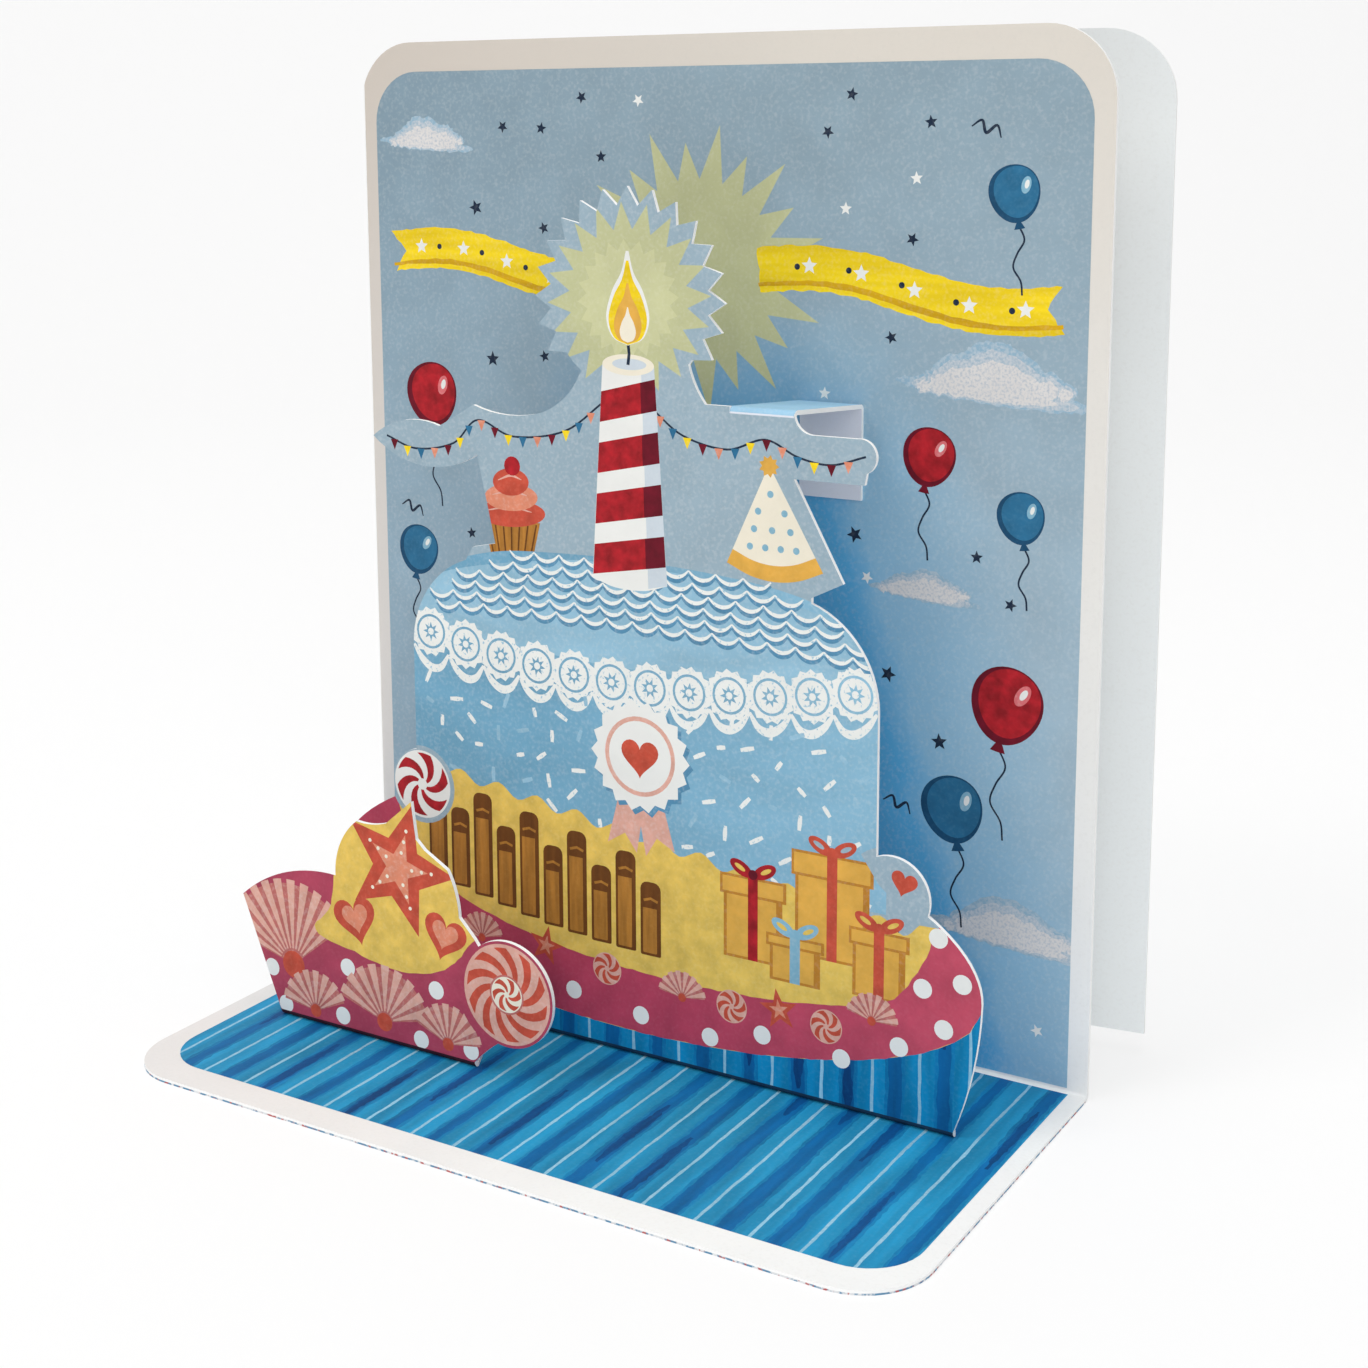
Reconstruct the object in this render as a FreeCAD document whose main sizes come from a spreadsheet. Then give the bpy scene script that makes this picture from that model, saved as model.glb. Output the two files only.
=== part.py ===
"""Pop up greeting card, standing open.

A printed card is folded into a base panel, an upright back panel and a plain rear
leaf.  Two die-cut picture layers stand in front of the back panel.  Each is one
folded piece: its foot is bent back and glued to the base, and the tall one also has a
strut at its top that is bent back and glued to the back panel.  A glued strut holds
the low front layer to the tall one, so that both follow when the card is folded.

Frame: X across the card, +Y to the back, +Z up, millimetres.  The origin is the
centre of the base panel's underside.
"""
import FreeCAD, Part
import math
import os
import re
from FreeCAD import Placement, Rotation, Vector

doc = FreeCAD.newDocument("PopUpCard")

# Driving dimensions
sheet = doc.addObject("Spreadsheet::Sheet", "Sizes")
DIMENSIONS = [
    ("card_width", 127.0, "width of the base and back panels"),
    ("card_height", 150.0, "height of the back panel"),
    ("base_depth", 62.5, "depth of the base panel"),
    ("card_thickness", 0.65, "thickness of the folded card"),
    ("fold_radius", 0.4, "inner radius of the card's folds"),
    ("corner_radius", 10.0, "rounded free corners of the panels"),
    ("leaf_width", 130.0, "width of the rear leaf from its fold"),
    ("leaf_angle", 8.0, "opening of the rear leaf, degrees"),
    ("leaf_lift", 3.0, "rear leaf's lower edge above the base's underside"),
    ("layer_thickness", 0.65, "thickness of the die-cut layers"),
    ("layer_fold_radius", 0.3, "inner radius of the layers' folds"),
    ("tall_distance", 21.2, "back panel's face to the tall layer's face"),
    ("front_distance", 36.8, "back panel's face to the front layer's face"),
    ("tall_shift", 0.8, "tall layer's middle, right of the card's middle"),
    ("tab_depth", 8.0, "depth of the glued foot tabs"),
    ("tab_inset", 4.0, "foot tab's free edge, shorter at each end"),
    ("foot_half_width", 51.4, "half the tall layer's foot"),
    ("board_half_width", 55.2, "half the round board above the foot"),
    ("board_level", 20.0, "height where the board is widest"),
    ("board_rise", 21.0, "rise of the board's round top above that"),
    ("cake_half_width", 39.4, "half the cake block"),
    ("cake_height", 72.8, "top of the cake block"),
    ("cake_corner", 15.0, "rounded upper corners of the cake block"),
    ("waist_left", 23.6, "left foot of the middle block"),
    ("waist_right", 29.2, "right foot of the middle block"),
    ("waist_lean", 3.0, "how far the middle block's left side leans out"),
    ("ledge_rise", 2.3, "small ledge on the cake's left shoulder, above the cake's top"),
    ("peak_reach", 34.0, "right peak, from the layer's middle"),
    ("peak_level", 75.2, "height of the right peak"),
    ("arm_reach_left", 46.2, "tip of the left arm from the layer's middle"),
    ("arm_level_left", 89.7, "height of the left arm's tip"),
    ("arm_reach_right", 38.7, "tip of the right arm"),
    ("arm_level_right", 92.3, "height of the right arm's tip"),
    ("arm_width", 5.6, "width of each arm near its tip"),
    ("knee_reach", 27.2, "corner on the left arm's upper edge, from the layer's middle"),
    ("knee_rise", 5.9, "height of that corner above the arm's tip"),
    ("burst_level", 112.2, "height of the toothed disc's centre"),
    ("burst_radius", 15.7, "toothed disc to the tips of its teeth"),
    ("burst_tooth", 2.6, "depth of one tooth"),
    ("burst_teeth", 24, "number of teeth"),
    ("ring_offset", 38.4, "small round bump, left of the layer's middle"),
    ("ring_level", 35.6, "height of its centre"),
    ("ring_radius", 5.6, "its radius"),
    ("bump_offset", 41.6, "low bump, right of the layer's middle"),
    ("bump_level", 32.6, "height of its centre"),
    ("bump_radius", 5.8, "its radius"),
    ("strut_level", 98.2, "upper face of the strut above the base's face"),
    ("strut_width", 10.0, "width of the strut"),
    ("strut_right", 26.4, "strut's right edge from the layer's middle"),
    ("strut_drop", 1.4, "how far the strut slopes down to the back panel"),
    ("flap_length", 14.0, "strut's glue flap, down the back panel"),
    ("tray_left", 54.1, "front layer's foot, left end from the middle"),
    ("tray_right", 16.8, "front layer's foot, right end from the middle"),
    ("tray_flare", 7.0, "how far the tray's left end leans out"),
    ("tray_level", 18.4, "height of the tray's upper left corner"),
    ("tray_crown", 25.4, "height of the tray's rounded top"),
    ("mound_offset", 30.9, "mound's centre from the middle"),
    ("mound_level", 24.2, "height of the mound's centre"),
    ("mound_radius", 10.9, "mound's radius"),
    ("tip_reach", 3.4, "mound's pointed tip, right of its centre"),
    ("tip_level", 38.8, "height of that tip"),
    ("notch_reach", 16.5, "notch between mound and disc, from the middle"),
    ("notch_level", 20.0, "height of that notch"),
    ("disc_offset", 10.8, "round disc's centre from the middle"),
    ("disc_level", 12.7, "height of its centre"),
    ("disc_radius", 8.0, "its radius"),
    ("link_offset", 34.0, "middle of the strut between the layers"),
    ("link_width", 24.0, "width of that strut"),
    ("link_level", 11.0, "its upper face above the base's face"),
    ("link_flap", 8.0, "length of its two glue flaps"),
]
for row, (alias, value, meaning) in enumerate(DIMENSIONS, start=1):
    sheet.set(f"A{row}", meaning)
    sheet.set(f"B{row}", str(value))
    sheet.setAlias(f"B{row}", alias)
doc.recompute()


def size(alias):
    """A driving dimension as a number, for outlines drawn in code."""
    return float(getattr(sheet, alias))


# Helpers for primitives bound to the sheet
X_AXIS = Vector(1, 0, 0)
Y_AXIS = Vector(0, 1, 0)
Z_AXIS = Vector(0, 0, 1)
ALONG_X = Rotation(Y_AXIS, Z_AXIS, X_AXIS, "ZXY")
ALONG_Y = Rotation(X_AXIS, 90)


def bind(obj, prop, formula):
    """Tie a property to a formula in which every word with an underscore is a cell of the sheet."""
    obj.setExpression(prop, re.sub(r"[a-z]+(_[a-z]+)+", r"Sizes.\g<0>", formula))


def place(obj, x="0", y="0", z="0", turn=None, spin=None):
    """Bind the position; turn is a fixed rotation, spin a formula for the angle about Z."""
    if spin is not None:
        turn = Rotation(Z_AXIS, 1)
    if turn is not None:
        obj.Placement = Placement(Vector(), turn)
    for axis, formula in (("x", x), ("y", y), ("z", z)):
        bind(obj, f"Placement.Base.{axis}", formula)
    if spin is not None:
        bind(obj, "Placement.Rotation.Angle", spin)
    return obj


def slab(name, length, width, height, **where):
    """A flat panel of card: a box with its lowest corner at the given place."""
    panel = doc.addObject("Part::Box", name)
    for prop, formula in (("Length", length), ("Width", width), ("Height", height)):
        bind(panel, prop, formula)
    return place(panel, **where)


def rod(name, radius, height, sweep="360", **where):
    """A cylinder, or a pie slice of one."""
    cylinder = doc.addObject("Part::Cylinder", name)
    for prop, formula in (("Radius", radius), ("Height", height), ("Angle", sweep)):
        bind(cylinder, prop, formula)
    return place(cylinder, **where)


def cut(name, base, tool):
    """One object minus another."""
    result = doc.addObject("Part::Cut", name)
    result.Base = base
    result.Tool = tool
    return result


def join(name, *pieces):
    """Several objects as one solid, without the seams between them."""
    result = doc.addObject("Part::MultiFuse", name)
    result.Shapes = list(pieces)
    result.Refine = True
    return result


# Folded card: base panel, back panel and rear leaf from one sheet
# The back panel's printed face is the plane y = 0 until the node is placed.
FOLD_OUTER = "(fold_radius + card_thickness)"
CLEAR = 1.0  # how far a block that is cut away reaches past the card
BAR_CLEAR = 2 * CLEAR  # how far a bar reaches past that block, at each end


def quarter_waste(name, box_at, box_size, rod_at, rod_length, turn=None):
    """The waste of a rounded corner: a square block minus a round bar."""
    waste = slab(f"{name}_block", *box_size, x=box_at[0], y=box_at[1], z=box_at[2])
    bar = rod(f"{name}_bar", "corner_radius", rod_length, x=rod_at[0], y=rod_at[1], z=rod_at[2], turn=turn)
    return cut(name, waste, bar)


base_sheet = slab("base_sheet", "card_width", f"base_depth - {FOLD_OUTER} + card_thickness", "card_thickness",
                  x="-card_width / 2", y="-base_depth")
for side, block_x, bar_x in (
    ("left", f"-card_width / 2 - {CLEAR}", "-card_width / 2 + corner_radius"),
    ("right", "card_width / 2 - corner_radius", "card_width / 2 - corner_radius"),
):
    waste = quarter_waste(
        f"base_corner_{side}",
        (block_x, f"-base_depth - {CLEAR}", f"-{CLEAR}"),
        (f"corner_radius + {CLEAR}", f"corner_radius + {CLEAR}", f"card_thickness + {2 * CLEAR}"),
        (bar_x, "-base_depth + corner_radius", f"-{BAR_CLEAR}"),
        f"card_thickness + {2 * BAR_CLEAR}",
    )
    base_sheet = cut(f"base_round_{side}", base_sheet, waste)

crease_outer = rod("crease_outer", FOLD_OUTER, "card_width", sweep="90",
                   x="-card_width / 2", y="-fold_radius", z=FOLD_OUTER,
                   turn=Rotation(-Z_AXIS, Y_AXIS, X_AXIS, "ZXY"))
crease_inner = rod("crease_inner", "fold_radius", f"card_width + {2 * CLEAR}",
                   x=f"-card_width / 2 - {CLEAR}", y="-fold_radius", z=FOLD_OUTER, turn=ALONG_X)
crease = cut("crease", crease_outer, crease_inner)

back_sheet = slab("back_sheet", f"card_width - {FOLD_OUTER}", "card_thickness", f"card_height - {FOLD_OUTER}",
                  x=f"-card_width / 2 + {FOLD_OUTER}", z=FOLD_OUTER)
back_waste = quarter_waste(
    "back_corner_right",
    ("card_width / 2 - corner_radius", f"-{CLEAR}", "card_height - corner_radius"),
    (f"corner_radius + {CLEAR}", f"card_thickness + {2 * CLEAR}", f"corner_radius + {CLEAR}"),
    ("card_width / 2 - corner_radius", f"card_thickness + {BAR_CLEAR}", "card_height - corner_radius"),
    f"card_thickness + {2 * BAR_CLEAR}",
    turn=ALONG_Y,
)
back_round = cut("back_round", back_sheet, back_waste)

# The rear leaf is drawn about its fold and turned by the leaf's angle.
SPINE_X = f"-card_width / 2 + {FOLD_OUTER}"
SPINE_Y = FOLD_OUTER
leaf_sheet = slab("leaf_sheet", f"leaf_width - {FOLD_OUTER}", "card_thickness", "card_height - leaf_lift",
                  y="fold_radius", z="leaf_lift")
leaf_waste = quarter_waste(
    "leaf_corner",
    (f"leaf_width - {FOLD_OUTER} - corner_radius", f"fold_radius - {CLEAR}", "card_height - corner_radius"),
    (f"corner_radius + {CLEAR}", f"card_thickness + {2 * CLEAR}", f"corner_radius + {CLEAR}"),
    (f"leaf_width - {FOLD_OUTER} - corner_radius", f"{FOLD_OUTER} + {BAR_CLEAR}", "card_height - corner_radius"),
    f"card_thickness + {2 * BAR_CLEAR}",
    turn=ALONG_Y,
)
leaf_round = cut("leaf_round", leaf_sheet, leaf_waste)
place(leaf_round, x=SPINE_X, y=SPINE_Y, spin="leaf_angle")
spine_outer = rod("spine_outer", FOLD_OUTER, "card_height - leaf_lift", sweep="180 - leaf_angle",
                  x=SPINE_X, y=SPINE_Y, z="leaf_lift", spin="90 + leaf_angle")
spine_inner = rod("spine_inner", "fold_radius", f"card_height - leaf_lift + {2 * CLEAR}",
                  x=SPINE_X, y=SPINE_Y, z=f"leaf_lift - {CLEAR}")
spine = cut("spine", spine_outer, spine_inner)

folded_blank = join("folded_blank", base_sheet, crease, back_round, spine, leaf_round)
SPINE_DEPTH = f"2 * {FOLD_OUTER} + corner_radius * tan(leaf_angle)"
spine_waste = quarter_waste(
    "spine_corner",
    (f"-card_width / 2 - {CLEAR}", f"-{CLEAR}", "card_height - corner_radius"),
    (f"corner_radius + {CLEAR}", f"{SPINE_DEPTH} + {2 * CLEAR}", f"corner_radius + {CLEAR}"),
    ("-card_width / 2 + corner_radius", f"{SPINE_DEPTH} + {BAR_CLEAR + CLEAR}", "card_height - corner_radius"),
    f"{SPINE_DEPTH} + {3 * BAR_CLEAR}",
    turn=ALONG_Y,
)
folded_card = cut("folded_card", folded_blank, spine_waste)


# Outlines are drawn in the plane of a layer: first number across, second number up.
def outline(start, *steps):
    """A closed face from straight steps (point) and round steps (point on the way, end point)."""
    edges = []
    here = Vector(*start)
    for step in steps:
        points = [Vector(*point) for point in step]
        if len(points) == 1:
            edges.append(Part.makeLine(here, points[0]))
        else:
            edges.append(Part.Arc(here, points[0], points[1]).toShape())
        here = points[-1]
    if not here.isEqual(Vector(*start), 1e-6):
        edges.append(Part.makeLine(here, Vector(*start)))
    return Part.Face(Part.Wire(edges))


def disc(x, height, radius):
    """A round face."""
    circle = Part.Circle(Vector(x, height, 0), Z_AXIS, radius)
    return Part.Face(Part.Wire([circle.toShape()]))


def block(left, bottom, right, top):
    """An upright rectangle of face."""
    return outline((left, bottom), ((right, bottom),), ((right, top),), ((left, top),))


def stand_up(face, distance, thickness, floor):
    """Card of the face's outline, its front at the given distance before the back panel."""
    card = face.extrude(Vector(0, 0, -thickness))
    card.rotate(Vector(), X_AXIS, 90)
    card.translate(Vector(0, -distance, floor))
    return card


def bend(left, right, centre_y, centre_z, inner, thickness, first_angle, sweep=90):
    """A fold along X, a quarter turn unless told; its angles count from +Y towards +Z."""
    pie = Part.makeCylinder(inner + thickness, right - left, Vector(), Z_AXIS, sweep)
    pie = pie.cut(Part.makeCylinder(inner, right - left))
    pie.rotate(Vector(), Z_AXIS, first_angle)
    pie.Placement = Placement(Vector(left, centre_y, centre_z), ALONG_X) * pie.Placement
    return pie


thickness = size("layer_thickness")
inner_fold = size("layer_fold_radius")
outer_fold = thickness + inner_fold
floor_level = size("card_thickness")


def foot_tab(left, right, distance):
    """The fold along a layer's foot and the glue tab behind it, which narrows to its free edge."""
    start_y = -distance + outer_fold
    tab_end = start_y + size("tab_depth")
    inset = size("tab_inset")
    tab = outline((left, start_y), ((right, start_y),), ((right - inset, tab_end),), ((left + inset, tab_end),))
    tab = tab.extrude(Vector(0, 0, thickness))
    tab.translate(Vector(0, 0, floor_level))
    fold = bend(left, right, start_y, floor_level + outer_fold, inner_fold, thickness, 180)
    return [tab, fold]


# Tall layer
def board_face():
    """The round board and its skirt, down to the foot's fold."""
    foot = size("foot_half_width")
    half = size("board_half_width")
    level = size("board_level")
    side_bow = 0.2 * (half - foot)
    middle = (foot + half) / 2 + side_bow
    skirt = outline((-foot, outer_fold), ((foot, outer_fold),), ((middle, level / 2), (half, level)),
                    ((-half, level),), ((-middle, level / 2), (-foot, outer_fold)))
    rise = size("board_rise")
    long_way, short_way = max(half, rise), min(half, rise)
    ellipse = Part.Ellipse(Vector(0, 0, 0), long_way, short_way)
    top = Part.Face(Part.Wire([ellipse.toShape()]))
    if rise > half:
        top.rotate(Vector(), Z_AXIS, 90)
    top.translate(Vector(0, level, 0))
    return skirt.fuse(top.common(block(-half, level, half, level + rise)))


def cake_face():
    """The cake block with its two rounded upper corners."""
    half = size("cake_half_width")
    top = size("cake_height")
    corner = size("cake_corner")
    low = size("board_level")
    slope = corner * (1 - math.sqrt(0.5))
    return outline((-half, low), ((half, low),), ((half, top - corner),),
                   ((half - slope, top - slope), (half - corner, top)),
                   ((corner - half, top),), ((slope - half, top - slope), (-half, top - corner)))


def arms_face():
    """Middle block, the two arms and the shoulders up to the toothed disc."""
    cake = size("cake_height")
    left_tip, left_level = size("arm_reach_left"), size("arm_level_left")
    right_tip, right_level = size("arm_reach_right"), size("arm_level_right")
    knee_x, knee_z = -size("knee_reach"), left_level + size("knee_rise")
    width = size("arm_width")
    shoulder = size("strut_level")
    waist_top = size("waist_left") + size("waist_lean")
    strut_right = size("strut_right")
    strut_left = strut_right - size("strut_width")
    neck = size("burst_radius") - 0.75 * size("burst_tooth")
    tuck = size("cake_corner") / 3
    right_low = right_level - 0.6 * width
    right_high = right_level + 0.5 * width
    armpit_x = -1.07 * neck
    dip_x = -left_tip + 2.25 * width
    waist_x, ledge = -size("waist_left"), size("ledge_rise")
    return outline(
        (waist_x - 1.07 * width, cake - tuck),
        ((size("waist_right"), cake - tuck),),
        ((size("waist_right"), cake),),
        ((size("peak_reach"), size("peak_level")),),
        # Right arm: lower edge, small notch, round nose and the hollow below the strut
        ((strut_right, right_low),),
        ((right_tip - 0.3 * width, right_low),),
        ((right_tip - 0.25 * width, right_low + 0.28 * width),),
        ((right_tip, right_level + 0.12 * width), (right_tip - 0.5 * width, right_high)),
        ((strut_right + 0.5 * width, right_high),),
        ((strut_right + 0.15 * width, right_high + 0.15 * width), (strut_right, shoulder)),
        ((strut_left - 0.7 * width, shoulder),),
        ((0.8 * neck, shoulder + 0.4 * width), (0.71 * neck, shoulder + width)),
        ((0, size("burst_level")),),
        # Left arm: neck, upper edge with its corner, pointed tip and bowed lower edge
        ((-0.6 * neck, shoulder + 0.54 * width),),
        ((-0.79 * neck, knee_z + 0.37 * width), (armpit_x, knee_z - 0.05 * width)),
        (((armpit_x + knee_x) / 2, knee_z - 0.2 * width), (knee_x, knee_z)),
        (((knee_x + dip_x) / 2, left_level + 0.72 * width), (dip_x, left_level + 0.41 * width)),
        (((dip_x - left_tip) / 2 - 0.2 * width, left_level + 0.46 * width), (-left_tip, left_level)),
        ((-(left_tip + waist_top) / 2, left_level - 0.71 * width), (-waist_top, left_level - 0.27 * width)),
        # Ledge on the cake's left shoulder
        ((waist_x, cake + ledge),),
        ((waist_x - 0.75 * width, cake + 0.6 * ledge),),
        ((waist_x - 1.07 * width, cake - 0.27 * width),),
    )


def burst_face():
    """A disc with pointed teeth down to its neck, and none where the neck joins it."""
    count = int(size("burst_teeth"))
    centre = size("burst_level")
    outer = size("burst_radius")
    neck_top = size("strut_level") + size("arm_width")
    points = []
    for corner in range(2 * count):
        angle = math.pi * corner / count
        is_tooth = corner % 2 == 0 and centre + outer * math.sin(angle) > neck_top
        radius = outer if is_tooth else outer - size("burst_tooth")
        points.append(Vector(radius * math.cos(angle), centre + radius * math.sin(angle), 0))
    return Part.Face(Part.makePolygon(points + points[:1]))


def strut_shapes():
    """Fold, top strut, rear fold and glue flap, bent back from the tall layer's upper edge."""
    right = size("strut_right")
    left = right - size("strut_width")
    distance = size("tall_distance")
    top = floor_level + size("strut_level")
    fold_z = top - outer_fold
    front_y = -distance + outer_fold
    rear_y = -outer_fold
    width = right - left
    rear_z = fold_z - size("strut_drop")
    slope = math.degrees(math.atan2(size("strut_drop"), rear_y - front_y))
    up = Vector(0, math.sin(math.radians(slope)), math.cos(math.radians(slope)))
    front_centre, rear_centre = Vector(left, front_y, fold_z), Vector(left, rear_y, rear_z)
    corners = [front_centre + up * inner_fold, rear_centre + up * inner_fold,
               rear_centre + up * outer_fold, front_centre + up * outer_fold]
    plate = Part.Face(Part.makePolygon(corners + corners[:1])).extrude(Vector(width, 0, 0))
    flap_height = size("flap_length") - outer_fold
    flap = Part.makeBox(width, thickness, flap_height, Vector(left, -thickness, rear_z - flap_height))
    front_fold = bend(left, right, front_y, fold_z, inner_fold, thickness, 90 - slope, 90 + slope)
    rear_fold = bend(left, right, rear_y, rear_z, inner_fold, thickness, 0, 90 - slope)
    return [front_fold, plate, rear_fold, flap]


def tall_shape():
    """The tall layer as one solid, centred on its own middle."""
    face = board_face().multiFuse([
        cake_face(),
        arms_face(),
        burst_face(),
        disc(-size("ring_offset"), size("ring_level"), size("ring_radius")),
        disc(size("bump_offset"), size("bump_level"), size("bump_radius")),
    ])
    right = size("strut_right")
    left = right - size("strut_width")
    fold_start = size("strut_level") - outer_fold
    face = face.cut(block(left, fold_start, right, size("strut_level") + outer_fold))
    upright = stand_up(face, size("tall_distance"), thickness, floor_level)
    foot = size("foot_half_width")
    extras = foot_tab(-foot, foot, size("tall_distance")) + strut_shapes()
    return upright.multiFuse(extras).removeSplitter()


# Front layer
def front_shape():
    """The low front layer as one solid: flared tray, mound with a tip, round disc and foot tab."""
    left, right = size("tray_left"), size("tray_right")
    flare = size("tray_flare")
    crown = size("tray_crown")
    corner_z = size("tray_level")
    mound_x, mound_z, mound = -size("mound_offset"), size("mound_level"), size("mound_radius")
    disc_x, disc_z, disc_radius = -size("disc_offset"), size("disc_level"), size("disc_radius")
    notch = (-size("notch_reach"), size("notch_level"))
    shoulder_x = -left - flare + 0.35 * (left + flare + mound_x)
    hollow = (disc_x - 0.2 * disc_radius, disc_z - 0.97 * disc_radius)

    def on_mound(across, up):
        """A point beside the mound's centre, in shares of its radius."""
        return (mound_x + across * mound, mound_z + up * mound)

    face = outline(
        (-left, outer_fold),
        ((-right, outer_fold),),
        # Hollow between the foot and the disc, then the notch above the disc
        ((0.56 * hollow[0] - 0.44 * right, 0.62 * hollow[1] + 0.38 * outer_fold), hollow),
        ((disc_x, disc_z),),
        (notch,),
        # Mound: right flank, pointed tip, hollow beside the tip and left flank
        (on_mound(1.08, -0.14),),
        (on_mound(1.03, 0.18), on_mound(0.90, 0.49)),
        (on_mound(0.52, 0.70),),
        (on_mound(0.38, 0.83),),
        ((mound_x + size("tip_reach"), size("tip_level")),),
        (on_mound(-0.12, 0.97),),
        (on_mound(-0.36, 0.91), on_mound(-0.64, 0.91)),
        (on_mound(-0.95, 0.52), on_mound(-1.04, 0.06)),
        # Tray's rounded top and flared end
        ((shoulder_x, crown - 0.2 * (crown - corner_z)), (-left - flare, corner_z)),
    )
    face = face.fuse(disc(disc_x, disc_z, disc_radius))
    upright = stand_up(face, size("front_distance"), thickness, floor_level)
    extras = foot_tab(-left, -right, size("front_distance"))
    return upright.multiFuse(extras).removeSplitter()


# Strut between the layers
def link_shape():
    """A bridge strip: glue flap behind the front layer, level strip, glue flap on the tall layer."""
    width = size("link_width")
    left = -size("link_offset") - width / 2
    right = left + width
    top = floor_level + size("link_level")
    fold_z = top - outer_fold
    flap_height = size("link_flap") - outer_fold
    front_face = -size("front_distance") + thickness
    rear_face = -size("tall_distance")
    front_y = front_face + outer_fold
    rear_y = rear_face - outer_fold
    plate = Part.makeBox(width, rear_y - front_y, thickness, Vector(left, front_y, top - thickness))
    front_flap = Part.makeBox(width, thickness, flap_height, Vector(left, front_face, fold_z - flap_height))
    rear_flap = Part.makeBox(width, thickness, flap_height, Vector(left, rear_face - thickness, fold_z - flap_height))
    folds = [
        bend(left, right, front_y, fold_z, inner_fold, thickness, 90),
        bend(left, right, rear_y, fold_z, inner_fold, thickness, 0),
    ]
    return plate.multiFuse([front_flap, rear_flap] + folds).removeSplitter()


def die_cut(name, shape):
    """A document object for a layer whose outline is drawn in code."""
    feature = doc.addObject("Part::Feature", name)
    feature.Shape = shape
    return feature


tall_layer = die_cut("tall_layer", tall_shape())
front_layer = die_cut("front_layer", front_shape())
layer_strut = die_cut("layer_strut", link_shape())

# The row's origin is the centre of the base panel's underside.
NODES = [(folded_card, "0"), (tall_layer, "tall_shift"), (front_layer, "0"), (layer_strut, "0")]
for node, shift in NODES:
    node.Label = node.Name
    place(node, x=shift, y="base_depth / 2")
doc.recompute()

# Check and write every piece
for obj in doc.Objects:
    if "Invalid" in obj.State or "Error" in obj.State:
        raise RuntimeError(f"{obj.Name} failed: {obj.State}")
os.makedirs("parts", exist_ok=True)
for node, _ in NODES:
    shape = node.Shape
    if shape.isNull() or not shape.isValid() or len(shape.Solids) != 1:
        raise RuntimeError(f"{node.Label} is not one valid solid")
    box = shape.BoundBox
    print(f"{node.Label}: {shape.Volume:.1f} mm3, x {box.XMin:.2f}..{box.XMax:.2f}, "
          f"y {box.YMin:.2f}..{box.YMax:.2f}, z {box.ZMin:.2f}..{box.ZMax:.2f}")
    shape.exportStep(os.path.join("parts", f"{node.Label}.step"))
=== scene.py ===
# %% [markdown]
# # A pop up card, printed and lit
# The card stands open: a printed back panel, a striped base, a plain leaf behind, and two
# die-cut layers in front. The folded and cut board itself is measured construction, so it is
# loaded as it is. What is missing is everything that a printer adds: ink, paper grain and a
# white cut edge. Each printed face gets a paper-thin sheet of its own, cut into fields of
# colour, so the edges between two inks are as crisp as on the real card from any distance.

# %% Load the frame
import math
import random

import bpy
import numpy as np
from mathutils import Matrix, Vector
from mathutils.geometry import delaunay_2d_cdt


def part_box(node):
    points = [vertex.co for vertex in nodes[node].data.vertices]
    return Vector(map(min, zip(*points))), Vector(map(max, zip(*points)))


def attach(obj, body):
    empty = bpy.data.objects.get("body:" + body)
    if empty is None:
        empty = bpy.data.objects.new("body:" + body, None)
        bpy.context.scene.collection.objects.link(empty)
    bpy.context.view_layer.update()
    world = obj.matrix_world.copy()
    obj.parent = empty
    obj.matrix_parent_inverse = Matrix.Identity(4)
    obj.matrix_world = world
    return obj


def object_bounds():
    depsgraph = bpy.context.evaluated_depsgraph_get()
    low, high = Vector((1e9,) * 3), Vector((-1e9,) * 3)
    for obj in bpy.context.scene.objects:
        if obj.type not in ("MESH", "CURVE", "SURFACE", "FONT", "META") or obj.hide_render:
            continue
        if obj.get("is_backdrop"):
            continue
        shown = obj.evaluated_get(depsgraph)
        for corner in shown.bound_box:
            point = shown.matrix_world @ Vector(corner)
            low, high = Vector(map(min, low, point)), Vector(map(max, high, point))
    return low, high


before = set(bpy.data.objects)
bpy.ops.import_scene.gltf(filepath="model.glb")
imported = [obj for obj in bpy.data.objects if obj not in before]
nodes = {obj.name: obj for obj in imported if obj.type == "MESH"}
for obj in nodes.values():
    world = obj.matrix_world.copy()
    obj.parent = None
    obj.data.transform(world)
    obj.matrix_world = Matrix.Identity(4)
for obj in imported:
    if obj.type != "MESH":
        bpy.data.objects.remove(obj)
cad_low, cad_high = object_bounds()
MM = 0.001
print("nodes:", sorted(nodes))
print("card, mm:", [round(side / MM, 1) for side in cad_high - cad_low])

# %% [markdown]
# ## Where the printed faces are
# A printed face is flat, so it is found by its direction and its distance. The outline of a
# die-cut layer is read from the loaded piece: an edge that belongs to only one triangle of the
# flat face lies on the cut. Reading it saves drawing the toothed disc and the arms twice, and
# the ink then always ends where the board ends.

# %% Read a flat face
tall_low, tall_high = (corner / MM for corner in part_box("tall_layer"))
front_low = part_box("front_layer")[0] / MM
card_low, card_high = (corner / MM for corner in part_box("folded_card"))


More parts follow.
